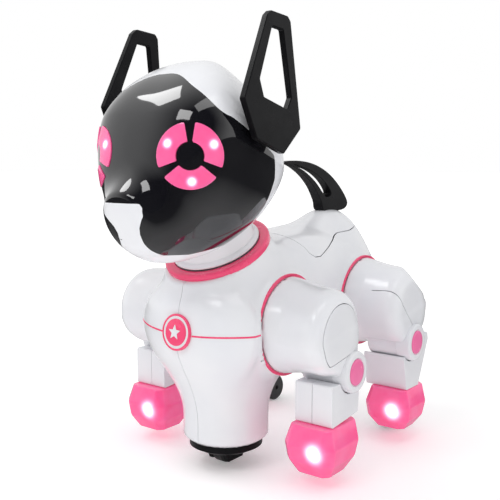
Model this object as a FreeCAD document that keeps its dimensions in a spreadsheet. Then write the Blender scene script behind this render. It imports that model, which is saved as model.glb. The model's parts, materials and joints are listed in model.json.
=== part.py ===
import FreeCAD, Part
import math
import os
import Sketcher
from FreeCAD import Placement, Rotation, Vector

# Robot dog toy: a white plastic walking dog with a black visor face, pink light-up eyes and paws.
# Frame: millimetres, +Z up, the dog looks along -Y and its left side is +X. The origin is on the floor
# under the middle of the whole dog.

doc = FreeCAD.newDocument("robot_dog")

DIMENSIONS = {
    # shells and running gaps
    "wall": 1.8,
    "gap": 0.3,
    "running": 0.05,
    # hips: the centres of the four round shoulder pads
    "hip_front_y": -16.1,
    "hip_front_z": 77.5,
    "hip_rear_y": 60.9,
    "hip_rear_z": 79.5,
    "pad_radius": 25.5,
    "pad_x": 34.0,
    "ring_width": 1.6,
    "ring_height": 0.4,
    "hip_shaft_radius": 5.0,
    "gearbox_x": 22.0,
    "belly_z": 45.2,
    # thighs
    "drum_radius": 23.6,
    "drum_tip_radius": 20.4,
    "drum_out_x": 67.0,
    "drum_round": 8.0,
    # knees
    "knee_front_y": -8.1,
    "knee_front_z": 56.6,
    "knee_rear_y": 59.8,
    "knee_rear_z": 59.0,
    "barrel_radius": 10.6,
    "barrel_in_x": 43.5,
    "barrel_out_x": 70.0,
    "tongue_in_x": 51.0,
    "tongue_out_x": 62.0,
    "pin_radius": 3.0,
    "disc_radius": 6.6,
    # shins and paws
    "shin_front_in_x": 45.0,
    "shin_rear_in_x": 41.0,
    "shin_out_x": 66.5,
    "ankle_z": 31.6,
    "paw_x": 55.8,
    "paw_front_y": -18.0,
    "paw_front_half_width": 14.8,
    "paw_front_half_length": 16.0,
    "sole_front_z": 6.5,
    "paw_rear_y": 62.5,
    "paw_rear_half_width": 14.2,
    "paw_rear_half_length": 14.6,
    "sole_rear_z": 8.0,
    "paw_wide_z": 22.0,
    # heel rollers inside the rear paws
    "roller_x": 44.0,
    "roller_y": 78.0,
    "roller_radius": 8.5,
    "roller_width": 7.6,
    "roller_pin_radius": 1.5,
    # front column and its steering wheel
    "column_y": -25.6,
    "column_radius": 22.8,
    "column_bottom_z": 14.3,
    "wheel_radius": 8.8,
    "wheel_width": 7.0,
    "axle_radius": 1.5,
    "turntable_radius": 19.6,
    "column_chamfer": 3.0,
    "turntable_bottom_z": 8.4,
    # collar and neck
    "collar_y": -32.5,
    "collar_z": 116.5,
    "collar_radius": 27.7,
    "collar_inner": 22.6,
    "collar_height": 3.2,
    "neck_tilt": 27.9,
    "spigot_radius": 8.0,
    # head
    "head_y": -55.1,
    "head_z": 169.3,
    "head_half_width": 40.0,
    "head_front": 33.8,
    "head_back": 48.0,
    "head_top": 42.4,
    "head_bottom": 60.0,
    "head_pitch": -24.2,
    # eyes
    "eye_x": 26.0,
    "eye_y": -81.5,
    "eye_z": 163.0,
    "eye_turn": 41.0,
    "eye_radius": 14.6,
    "eye_inner": 6.2,
    "eye_sector": 102.0,
    # ears
    "ear_x": 43.6,
    "ear_thickness": 3.2,
    "ear_pivot_y": -45.0,
    "ear_pivot_z": 176.0,
    "ear_pin_radius": 3.0,
    "ear_hub": 3.4,
    # tail
    "tail_y": 78.0,
    "tail_z": 124.0,
    "tail_thickness": 7.0,
    "tail_pin_radius": 4.0,
}

dims = doc.addObject("Spreadsheet::Sheet", "dims")
for row, (alias, amount) in enumerate(DIMENSIONS.items(), start=1):
    dims.set(f"A{row}", alias)
    dims.set(f"B{row}", str(amount))
    dims.setAlias(f"B{row}", alias)
doc.recompute()

UP, FORWARD, ACROSS = (0, 0, 1), (0, -1, 0), (1, 0, 0)
SIDES = {"left": 1, "right": -1}
LEGS = {"fl": (1, "front"), "fr": (-1, "front"), "rl": (1, "rear"), "rr": (-1, "rear")}
nodes = []


# ---------------------------------------------------------------- helpers


def size(formula):
    """The value of a number or of a formula over the sheet's cells."""
    return dims.evalExpression(str(formula))


def node(obj, label):
    """Registers an object as one sub-part of the dog."""
    obj.Label = label
    nodes.append(obj)
    return obj


def bind(obj, formulas):
    for name, formula in formulas.items():
        obj.setExpression(name, formula)
    return obj


def solid(kind, name, formulas, base=(0, 0, 0), axis=(0, 0, 1)):
    """A Part primitive whose sizes follow the sheet, standing on base along axis."""
    obj = doc.addObject("Part::" + kind, name)
    obj.Placement = Placement(Vector(*[size(v) for v in base]), Rotation(Vector(0, 0, 1), Vector(*axis)))
    places = {f"Placement.Base.{k}": str(v) for k, v in zip("xyz", base) if isinstance(v, str)}
    return bind(obj, {**formulas, **places})


def rod(name, radius, length, base, axis):
    return solid("Cylinder", name, {"Radius": str(radius), "Height": str(length)}, base, axis)


def block(name, lengths, corner):
    return solid("Box", name, dict(zip(("Length", "Width", "Height"), map(str, lengths))), corner)


def boolean(kind, name, first, *others):
    """Cut, Common or Fuse of a first object with all the others."""
    if len(others) > 1:
        tool = doc.addObject("Part::MultiFuse", name + "_tools")
        tool.Shapes = list(others)
    else:
        tool = others[0]
    obj = doc.addObject("Part::" + kind, name)
    obj.Base, obj.Tool, obj.Refine = first, tool, False
    return obj


def carve(name, base, tools):
    """Cuts each tool in turn."""
    for i, tool in enumerate(tools):
        base = boolean("Cut", f"{name}_{i}", base, tool)
    return base


def fuse(name, *parts):
    obj = doc.addObject("Part::MultiFuse", name)
    obj.Shapes = list(parts)
    return obj


def group(name, parts):
    obj = doc.addObject("Part::Compound", name)
    obj.Links = list(parts)
    return obj


def new_body(name, place=(0, 0, 0), rotation=None):
    body = doc.addObject("PartDesign::Body", name)
    body.Placement = Placement(Vector(*[size(v) for v in place]), rotation or Rotation())
    bind(body, {f"Placement.Base.{k}": v for k, v in zip("xyz", place) if isinstance(v, str)})
    return body


def sketch_on(body, name, role, offset="0"):
    """A sketch on one of the body's own planes, moved along that plane's normal."""
    sketch = body.newObject("Sketcher::SketchObject", name)
    plane = next(f for f in body.Origin.OriginFeatures if f.Role == role)
    sketch.AttachmentSupport = [(plane, "")]
    sketch.MapMode = "FlatFace"
    sketch.AttachmentOffset = Placement(Vector(0, 0, size(offset)), Rotation())
    sketch.setExpression("AttachmentOffset.Base.z", str(offset))
    return sketch


def fix_point(sketch, geometry, point, place):
    """Holds one point of a sketch at a place given by numbers or formulas."""
    for kind, amount in zip(("DistanceX", "DistanceY"), place):
        held = sketch.addConstraint(Sketcher.Constraint(kind, -1, 1, geometry, point, float(size(amount))))
        if isinstance(amount, str):
            sketch.setExpression(f"Constraints[{held}]", amount)


def polygon(sketch, points):
    first = sketch.GeometryCount
    corners = [Vector(float(size(x)), float(size(y)), 0) for x, y in points]
    for start, end in zip(corners, corners[1:] + corners[:1]):
        sketch.addGeometry(Part.LineSegment(start, end))
    count = len(points)
    for i in range(count):
        sketch.addConstraint(
            Sketcher.Constraint("Coincident", first + i, 2, first + (i + 1) % count, 1)
        )
        fix_point(sketch, first + i, 1, points[i])


def circle(sketch, radius, centre=(0, 0)):
    index = sketch.addGeometry(
        Part.Circle(Vector(float(size(centre[0])), float(size(centre[1])), 0), Vector(0, 0, 1), size(radius))
    )
    fix_point(sketch, index, 3, centre)
    held = sketch.addConstraint(Sketcher.Constraint("Radius", index, size(radius)))
    sketch.setExpression(f"Constraints[{held}]", str(radius))


def pad(body, name, sketch, length, backwards=False):
    feature = body.newObject("PartDesign::Pad", name)
    feature.Profile = sketch
    feature.Length = size(length)
    feature.setExpression("Length", str(length))
    feature.Reversed = backwards
    doc.recompute()
    return feature


def pocket(body, name, sketch, length, backwards=False):
    """Cuts a pocket and stops if it removed nothing."""
    before = body.Shape.Volume
    feature = body.newObject("PartDesign::Pocket", name)
    feature.Profile = sketch
    feature.Length = size(length)
    feature.setExpression("Length", str(length))
    feature.Reversed = backwards
    doc.recompute()
    if body.Shape.Volume > before - 0.1:
        raise RuntimeError(f"{body.Name}.{name} cuts nothing")
    return feature


def revolve(body, name, sketch, axis):
    feature = body.newObject("PartDesign::Revolution", name)
    feature.Profile = sketch
    feature.ReferenceAxis = (sketch, [axis])
    feature.Angle = 360
    doc.recompute()
    return feature


def side_pad(body, name, side, x_from, x_to, draw):
    """Pads a side-view outline between two distances from the dog's middle plane."""
    sketch = sketch_on(body, name + "_outline", "YZ_Plane", f"{side} * ({x_from})")
    draw(sketch)
    return pad(body, name, sketch, f"({x_to}) - ({x_from})", backwards=side < 0)


def side_pocket(body, name, side, x_from, x_to, draw):
    sketch = sketch_on(body, name + "_outline", "YZ_Plane", f"{side} * ({x_from})")
    draw(sketch)
    return pocket(body, name, sketch, f"({x_to}) - ({x_from})", backwards=side > 0)


def turned(name, side, place, profile):
    """A body turned about a line along X through place; profile is (distance from the middle, radius)."""
    body = new_body(name, place)
    sketch = sketch_on(body, name + "_profile", "XY_Plane")
    polygon(sketch, [(f"{side} * ({x})", radius) for x, radius in profile])
    revolve(body, name + "_turn", sketch, "H_Axis")
    return body


def prism(name, outline, reach=140.0, front_view=False):
    """A side-view (y, z) or front-view (x, z) outline extended right through the dog."""
    wire = doc.addObject("Part::Feature", name + "_wire")
    corners = [Vector(u, -reach, v) if front_view else Vector(-reach, u, v) for u, v in outline]
    wire.Shape = Part.Face(Part.makePolygon(corners + corners[:1]))
    obj = doc.addObject("Part::Extrusion", name)
    obj.Base = wire
    obj.Dir = Vector(0, 1, 0) if front_view else Vector(1, 0, 0)
    obj.LengthFwd = 2 * reach
    return obj


# ---------------------------------------------------------------- lofted skins

SECTION_POLES = 16
POLE_REACH = 3 / (2 + math.cos(2 * math.pi / SECTION_POLES))


def power(value, exponent):
    return math.copysign(abs(value) ** (2.0 / exponent), value)


def section(name, point_at):
    """A smooth closed section; a cubic curve runs inside its poles, so they stand out by POLE_REACH."""
    outline = [point_at(2 * math.pi * (i + 0.5) / SECTION_POLES) for i in range(SECTION_POLES)]
    middle = sum(outline, Vector()) * (1 / SECTION_POLES)
    curve = Part.BSplineCurve()
    curve.buildFromPoles([middle + (p - middle) * POLE_REACH for p in outline], True, 3)
    wire = doc.addObject("Part::Feature", name)
    wire.Shape = Part.Wire(curve.toShape())
    return wire


def loft(name, sections):
    obj = doc.addObject("Part::Loft", name)
    obj.Sections = sections
    obj.Solid = True
    obj.Ruled = False
    return obj


HEAD_LATITUDES = (-84, -66, -45, -22, 0, 22, 45, 66, 84)
HEAD_SIDE_POWER = 1.69
HEAD_PLAN_POWER = 3.23


def head_skin(name, inset):
    """The egg-shaped head, wide and blunt in plan, leaning forward about its own middle."""
    half_width = size("dims.head_half_width") - inset
    front, back = size("dims.head_front") - inset, size("dims.head_back") - inset
    top, bottom = size("dims.head_top") - inset, size("dims.head_bottom") - inset
    pitch = math.radians(size("dims.head_pitch"))

    def ring(latitude):
        reach = power(math.cos(latitude), HEAD_SIDE_POWER)
        rise = power(math.sin(latitude), HEAD_SIDE_POWER) * (top if latitude > 0 else bottom)

        def point_at(turn):
            across = half_width * reach * power(math.sin(turn), HEAD_PLAN_POWER)
            depth = front if math.cos(turn) > 0 else back
            along = -depth * reach * power(math.cos(turn), HEAD_PLAN_POWER)
            return Vector(
                across,
                size("dims.head_y") + along * math.cos(pitch) - rise * math.sin(pitch),
                size("dims.head_z") + along * math.sin(pitch) + rise * math.cos(pitch),
            )

        return point_at

    rings = [section(f"{name}_ring_{i}", ring(math.radians(a))) for i, a in enumerate(HEAD_LATITUDES)]
    return loft(name, rings)


# Torso sections from chest to rump: y, half width, lowest z, highest z, squareness.
TORSO_SECTIONS = (
    (-61.5, 17, 70, 93, 2.2),
    (-57.0, 31, 58, 99, 2.5),
    (-46.0, 37, 47, 106, 2.6),
    (-30.0, 34.5, 42, 113, 2.8),
    (-8.0, 33, 43, 121, 2.8),
    (20.0, 31, 46, 122, 2.6),
    (50.0, 34, 49, 121, 2.8),
    (74.0, 33, 54, 119, 2.6),
    (92.0, 25, 66, 113, 2.4),
    (100.5, 11, 79, 102, 2.2),
)


def torso_skin(name, inset):
    rings = []
    last = len(TORSO_SECTIONS) - 1
    for i, (y, half_width, low, high, squareness) in enumerate(TORSO_SECTIONS):
        middle, half_height = (low + high) / 2, (high - low) / 2 - inset
        along = y + inset * ((i == 0) - (i == last))

        def point_at(turn):
            return Vector(
                (half_width - inset) * power(math.cos(turn), squareness),
                along,
                middle + half_height * power(math.sin(turn), squareness),
            )

        rings.append(section(f"{name}_ring_{i}", point_at))
    return loft(name, rings)


# ---------------------------------------------------------------- torso


def neck_axis():
    tilt = math.radians(size("dims.neck_tilt"))
    return Vector(0, -math.sin(tilt), math.cos(tilt))


def along_neck(distance):
    centre = Vector(0, size("dims.collar_y"), size("dims.collar_z"))
    return centre + neck_axis() * distance


def column_cone(name, inset):
    """The chest tapering down into the round front column, eased in at its foot."""
    radius = f"dims.column_radius - {inset}"
    main = {"Radius1": radius, "Radius2": f"{radius} + 11", "Height": "62 - dims.column_chamfer"}
    foot = {"Radius1": f"{radius} - dims.column_chamfer", "Radius2": radius, "Height": "dims.column_chamfer"}
    bottom = "dims.column_bottom_z"
    return [
        solid("Cone", name, main, (0, "dims.column_y", f"{bottom} + dims.column_chamfer")),
        solid("Cone", f"{name}_foot", foot, (0, "dims.column_y", bottom)),
    ]


def hip_pads(name, x_from, x_to, radius):
    """One disc under each of the four thighs, between two distances from the middle."""
    discs = []
    for leg, (side, end) in LEGS.items():
        discs.append(
            rod(
                f"{name}_{leg}",
                radius,
                f"({x_to}) - ({x_from})",
                (f"{side} * ({x_from})", f"dims.hip_{end}_y", f"dims.hip_{end}_z"),
                (side, 0, 0),
            )
        )
    return discs


def neck_cone(name, low, high, radius_low, radius_high):
    cone = solid(
        "Cone",
        name,
        {"Radius1": str(radius_low), "Radius2": str(radius_high), "Height": str(high - low)},
        tuple(along_neck(low)),
        tuple(neck_axis()),
    )
    return cone


def build_torso():
    outer = fuse(
        "torso_outer",
        torso_skin("torso_loft", 0.0),
        *column_cone("column", 0.0),
        neck_cone("neck_base", -26, -2.0, 31, 27.6),
        solid("Cone", "rump_hump", {"Radius1": "24", "Radius2": "13", "Height": "18"}, (0, 70, 112)),
        block("battery_bulge", (46.8, 49.6, 14.8), (-23.4, 10, "dims.belly_z")),
        *hip_pads("hip_pad", 27.0, "dims.pad_x", "dims.pad_radius"),
    )
    wall = size("dims.wall")
    foot_bore = "dims.column_radius - dims.column_chamfer - dims.wall"
    inner = fuse(
        "torso_inner",
        torso_skin("torso_loft_inside", wall),
        *column_cone("column_inside", wall),
        rod("foot_opening", foot_bore, 3, (0, "dims.column_y", "dims.column_bottom_z - 1"), (0, 0, 1)),
        neck_cone("neck_inside", -27, 0, 31 - wall, 27.6 - wall - 3.4),
        block("battery_bulge_room", (43.4, 46.2, 12.8), (-21.7, 11.7, "dims.belly_z + 2")),
    )
    clearance = hip_pads("hip_clearance", "dims.pad_x", 60.0, "dims.pad_radius + 0.9")
    bores = hip_pads("hip_bore", 20.0, "dims.pad_x + 1", "dims.hip_shaft_radius + dims.running")
    door_hole = block("door_hole", (42.6, 45.6, 14), (-21.3, 12, 40))
    switch_hole = block("switch_hole", (12, 5, 14), (-6, 62.5, 42))
    tail_radius = "dims.tail_pin_radius + dims.running"
    tail_bore = rod("tail_bore", tail_radius, 22, (0, "dims.tail_y", 110), UP)
    rooms = [inner, door_hole, switch_hole, tail_bore]
    shell = boolean("Cut", "torso_shell", outer, *rooms, *bores, *clearance)
    saddle_zone = prism("saddle_zone", [
        (22, 150), (23, 118), (40, 110), (52, 104), (62, 104), (72, 112), (90, 124), (96, 150),
    ])  # fmt: skip
    node(boolean("Common", "back_cover", shell, saddle_zone), "back_cover")
    lower = boolean("Cut", "torso_below_cover", shell, saddle_zone)
    for name, side in SIDES.items():
        half = block(f"{name}_half", (80, 260, 200), (0 if side > 0 else -80, -130, 0))
        node(boolean("Common", f"torso_{name}", lower, half), f"torso_{name}_shell")


def build_hip_rings():
    outer_radius = "dims.pad_radius + 0.5"
    inner_radius = f"{outer_radius} - dims.ring_width"
    rings = []
    for leg, (side, end) in LEGS.items():
        place = (f"{side} * dims.pad_x", f"dims.hip_{end}_y", f"dims.hip_{end}_z")
        disc = rod(f"ring_{leg}_disc", outer_radius, "dims.ring_height", place, (side, 0, 0))
        hole = rod(f"ring_{leg}_hole", inner_radius, "dims.ring_height", place, (side, 0, 0))
        rings.append(boolean("Cut", f"ring_{leg}", disc, hole))
    node(group("hip_ring_group", rings), "hip_rings")


def build_collar():
    body = new_body("collar", tuple(along_neck(-2)), Rotation(Vector(0, 0, 1), neck_axis()))
    sketch = sketch_on(body, "collar_profile", "XZ_Plane")
    polygon(
        sketch,
        [
            ("dims.collar_inner", 0.1),
            ("dims.collar_radius", 0.1),
            ("dims.collar_radius", "dims.collar_height - 1"),
            ("dims.collar_radius - 1", "dims.collar_height"),
            ("dims.collar_inner", "dims.collar_height"),
        ],
    )
    revolve(body, "collar_turn", sketch, "V_Axis")
    node(body, "collar_ring")


def build_chest_badge():
    """A round badge with a raised rim on the middle of the chest."""
    badge = new_body("badge", (0, -61.6, 77.6))
    sketch = sketch_on(badge, "badge_outline", "XZ_Plane")
    circle(sketch, 9.2)
    pad(badge, "badge_disc", sketch, 2.0)
    rim = sketch_on(badge, "badge_rim", "XZ_Plane", 2.0)
    circle(rim, 7.0)
    circle(rim, 8.2)
    pocket(badge, "badge_groove", rim, 0.8)
    node(badge, "chest_badge")


# ---------------------------------------------------------------- electrics in the torso


def build_electrics():
    box = block("battery_box_outside", (46, 46, 18), (-23, 10, 58))
    room = block("battery_box_room", (44.4, 44.4, 16.4), (-22.2, 10.8, 57.9))
    node(boolean("Cut", "battery_box_walls", box, room), "battery_box")
    cells = [rod(f"cell_{i}", 7.0, 43, (-15 + 15 * i, 11.5, 66.6), (0, 1, 0)) for i in range(3)]
    node(group("cells", cells), "battery_cells")
    door = block("door_plate", (42, 45, 2.0), (-21, 12.3, "dims.belly_z"))
    node(door, "battery_door")
    node(rod("door_screw", 2.2, 5.5, (0, 54.5, "dims.belly_z + 2.1"), (0, 0, 1)), "battery_door_screw")
    for end, y, z in (("front", "dims.hip_front_y", 70), ("rear", "dims.hip_rear_y", 77)):
        case = block(
            f"leg_drive_{end}_case",
            ("2 * dims.gearbox_x", 18, 20),
            ("-dims.gearbox_x", f"{y} - 9", z),
        )
        node(case, f"leg_gearbox_{end}")
    node(rod("leg_motor_can", 8.5, 26, (0, 14, 90), (0, 1, 0)), "leg_motor")
    node(block("main_board_plate", (46, 34, 1.6), (-23, 12, 108)), "main_board")
    magnet = rod("speaker_magnet", 8, 6, (0, -36, 79), FORWARD)
    cone_sizes = {"Radius1": "8", "Radius2": "14", "Height": "5"}
    cone = solid("Cone", "speaker_cone", cone_sizes, (0, -42, 79), FORWARD)
    node(fuse("speaker_unit", magnet, cone), "speaker")
    knob = block("switch_knob", (4, 4.4, 8), (-5.4, 62.8, 48.5))
    node(knob, "power_switch")
    screws = []
    for y, z in ((-44, 62), (-2, 108), (34, 103), (82, 98)):
        screws.append(rod(f"shell_screw_{y}", 1.6, 22, (-11, y, z), (1, 0, 0)))
    node(group("shell_screw_group", screws), "shell_screws")


# ---------------------------------------------------------------- front column


# The two cheeks under the turntable that hold the wheel.
FORK_DEPTH, FORK_HALF_WIDTH = 6.0, 6.6


def build_column_drive():
    base = new_body("turntable", (0, "dims.column_y", "dims.turntable_bottom_z"))
    sketch = sketch_on(base, "turntable_profile", "XZ_Plane")
    top = "dims.column_bottom_z - dims.turntable_bottom_z - dims.gap"
    polygon(
        sketch,
        [
            (0, 0),
            ("dims.turntable_radius - 5", 0),
            ("dims.turntable_radius", 2.6),
            ("dims.turntable_radius", top),
            ("dims.spigot_radius + 1", top),
            ("dims.spigot_radius + 1", f"{top} + 12"),
            (0, f"{top} + 12"),
        ],
    )
    revolve(base, "turntable_turn", sketch, "V_Axis")
    fork = [(-9.5, 1), (9.5, 1), (6, f"-{FORK_DEPTH}"), (-6, f"-{FORK_DEPTH}")]
    side_pad(base, "wheel_fork", 1, -FORK_HALF_WIDTH, FORK_HALF_WIDTH, lambda s: polygon(s, fork))
    slot = sketch_on(base, "wheel_slot", "XY_Plane", -FORK_DEPTH)
    half_width, half_length = "dims.wheel_width / 2 + 0.6", "dims.wheel_radius + 0.8"
    polygon(
        slot,
        [
            (f"-({half_width})", f"-({half_length})"),
            (half_width, f"-({half_length})"),
            (half_width, half_length),
            (f"-({half_width})", half_length),
        ],
    )
    wheel_top = "dims.wheel_radius * 2 + 1.2 - dims.turntable_bottom_z"
    pocket(base, "wheel_room", slot, f"{wheel_top} + {FORK_DEPTH}", backwards=True)
    axle_hole = sketch_on(base, "axle_hole", "YZ_Plane", -FORK_HALF_WIDTH)
    circle(axle_hole, "dims.axle_radius", (0, "dims.wheel_radius - dims.turntable_bottom_z"))
    pocket(base, "axle_bore", axle_hole, 2 * FORK_HALF_WIDTH, backwards=True)
    node(base, "column_turntable")
    disc = rod("bearing_disc", "dims.column_radius - dims.wall", 3, (0, "dims.column_y", 18), UP)
    bore = rod("bearing_bore", "dims.spigot_radius + 1 + dims.running", 5, (0, "dims.column_y", 17), UP)
    node(boolean("Cut", "column_bearing", disc, bore), "turntable_bearing")
    wheel = turned(
        "front_wheel_body",
        1,
        (0, "dims.column_y", "dims.wheel_radius"),
        [
            ("-dims.wheel_width / 2", "dims.axle_radius + dims.running"),
            ("dims.wheel_width / 2", "dims.axle_radius + dims.running"),
            ("dims.wheel_width / 2", "dims.wheel_radius - 1"),
            ("dims.wheel_width / 2 - 1", "dims.wheel_radius"),
            ("-dims.wheel_width / 2 + 1", "dims.wheel_radius"),
            ("-dims.wheel_width / 2", "dims.wheel_radius - 1"),
        ],
    )
    node(wheel, "front_wheel")
    axle_start = (-FORK_HALF_WIDTH, "dims.column_y", "dims.wheel_radius")
    axle = rod("front_axle_rod", "dims.axle_radius", 2 * FORK_HALF_WIDTH, axle_start, ACROSS)
    node(axle, "front_wheel_axle")


# ---------------------------------------------------------------- legs

# Side-view outlines, each point (y, z) counted from the knee.
SHIN_OUTLINES = {
    "front": [(-18.0, "dims.ankle_z - dims.knee_front_z"), (7.2, "dims.ankle_z - dims.knee_front_z"),
              (8.2, -10), (8.2, -3.8), (-18.0, -3.8)],
    "rear": [(-5.5, "dims.ankle_z - dims.knee_rear_z"), (9.4, "dims.ankle_z - dims.knee_rear_z"),
             (15.5, -15), (21.5, -2), (20.2, 3.0), (13, -2), (-6, -5), (-8.5, -9)],
}  # fmt: skip

# The skirt that carries the drum down to the knee, counted from the hip.
SKIRT_OUTLINES = {
    "front": [(-19, -8), (-11.4, -23.6), (4, -23.6), (8, -26), (16, -18), (10, 0)],
    "rear": [(-14, -10), (-12, -19.4), (12, -19.4), (14, -10)],
}

# The little cover set into the outer end of each thigh, counted from the hip.
CAP_OUTLINES = {
    "front": [(-5, 13), (-11, 8), (-12.5, 0), (-10, -8), (-7, -11), (10, -4), (11, 4), (5, 11)],
    "rear": [(-10, 9), (-4, 13), (5, 12), (11, 6), (12, -3), (6, -8), (-3, -4)],
}


def build_thigh(leg, side, end):
    hip = (0, f"dims.hip_{end}_y", f"dims.hip_{end}_z")
    knee = (f"dims.knee_{end}_y - dims.hip_{end}_y", f"dims.knee_{end}_z - dims.hip_{end}_z")
    body = turned(
        f"thigh_{leg}_body",
        side,
        hip,
        [
            ("dims.pad_x + 0.7", 0),
            ("dims.drum_out_x", 0),
            ("dims.drum_out_x", "dims.drum_tip_radius - dims.drum_round"),
            ("dims.drum_out_x - dims.drum_round * 0.3", "dims.drum_tip_radius - dims.drum_round * 0.3"),
            ("dims.drum_out_x - dims.drum_round", "dims.drum_tip_radius"),
            ("dims.pad_x + 0.7", "dims.drum_radius"),
        ],
    )
    side_pad(body, "skirt", side, "dims.barrel_in_x", "dims.drum_out_x - 1.2",
             lambda s: polygon(s, SKIRT_OUTLINES[end]))  # fmt: skip
    side_pad(body, "barrel", side, "dims.barrel_in_x", "dims.barrel_out_x",
             lambda s: circle(s, "dims.barrel_radius", knee))  # fmt: skip
    side_pocket(body, "hollow", side, "dims.pad_x + 0.7", "dims.barrel_in_x - 1.5",
                lambda s: circle(s, "dims.drum_radius - 3"))  # fmt: skip
    side_pocket(body, "tongue_slot", side, "dims.tongue_in_x - dims.gap", "dims.tongue_out_x + dims.gap",
                lambda s: circle(s, "dims.barrel_radius + 0.6", knee))  # fmt: skip
    side_pocket(body, "pin_bore", side, "dims.barrel_in_x - 2", "dims.barrel_out_x + 1",
                lambda s: circle(s, "dims.pin_radius", knee))  # fmt: skip
    side_pocket(body, "disc_seat", side, "dims.barrel_out_x - 1.2", "dims.barrel_out_x + 1",
                lambda s: circle(s, "dims.disc_radius", knee))  # fmt: skip
    side_pad(body, "hip_shaft", side, "dims.gearbox_x + 0.4", "dims.barrel_in_x",
             lambda s: circle(s, "dims.hip_shaft_radius"))  # fmt: skip
    node(body, f"thigh_{leg}")
    cap = new_body(f"thigh_cap_{leg}_body", hip)
    side_pad(cap, "plate", side, "dims.drum_out_x", "dims.drum_out_x + 0.8",
             lambda s: polygon(s, CAP_OUTLINES[end]))  # fmt: skip
    node(cap, f"thigh_cap_{leg}")


def build_knee(leg, side, end):
    place = (0, f"dims.knee_{end}_y", f"dims.knee_{end}_z")
    pin = turned(
        f"knee_pin_{leg}_body",
        side,
        place,
        [
            ("dims.barrel_in_x", 0),
            ("dims.barrel_out_x + 0.2", 0),
            ("dims.barrel_out_x + 0.2", "dims.disc_radius - 0.6"),
            ("dims.barrel_out_x - 0.4", "dims.disc_radius"),
            ("dims.barrel_out_x - 1.2", "dims.disc_radius"),
            ("dims.barrel_out_x - 1.2", "dims.pin_radius"),
            ("dims.barrel_in_x", "dims.pin_radius"),
        ],
    )
    node(pin, f"knee_pin_{leg}")
    shin = new_body(f"shin_{leg}_body", place)
    side_pad(shin, "leg_block", side, f"dims.shin_{end}_in_x", "dims.shin_out_x",
             lambda s: polygon(s, SHIN_OUTLINES[end]))  # fmt: skip
    side_pocket(shin, "saddle", side, f"dims.shin_{end}_in_x - 1", "dims.shin_out_x + 1",
                lambda s: circle(s, "dims.barrel_radius + 0.6"))  # fmt: skip
    neck = [(-6.5, -13), (6.5, -13), (6.5, 0), (-6.5, 0)]
    side_pad(shin, "neck", side, "dims.tongue_in_x", "dims.tongue_out_x", lambda s: polygon(s, neck))
    side_pad(shin, "tongue", side, "dims.tongue_in_x", "dims.tongue_out_x",
             lambda s: circle(s, "dims.barrel_radius - 0.4"))  # fmt: skip
    side_pocket(shin, "pin_bore", side, "dims.tongue_in_x - 1", "dims.tongue_out_x + 1",
                lambda s: circle(s, "dims.pin_radius + dims.running"))  # fmt: skip
    node(shin, f"shin_{leg}")


def paw_ring(name, side, end, height, narrower, shorter, corner, shift):
    """An eight-sided outline of the paw at one height, cut down from its widest ring."""
    x, y, z = side * size("dims.paw_x"), size(f"dims.paw_{end}_y") + shift, size(height)
    w, l = size(f"dims.paw_{end}_half_width") - narrower, size(f"dims.paw_{end}_half_length") - shorter
    outline = [
        (w - corner, -l), (w, corner - l), (w, l - corner), (w - corner, l),
        (corner - w, l), (-w, l - corner), (-w, corner - l), (corner - w, -l),
    ]  # fmt: skip
    wire = doc.addObject("Part::Feature", name)
    points = [Vector(x + dx, y + dy, z) for dx, dy in outline]
    wire.Shape = Part.makePolygon(points + points[:1])
    return wire


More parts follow.
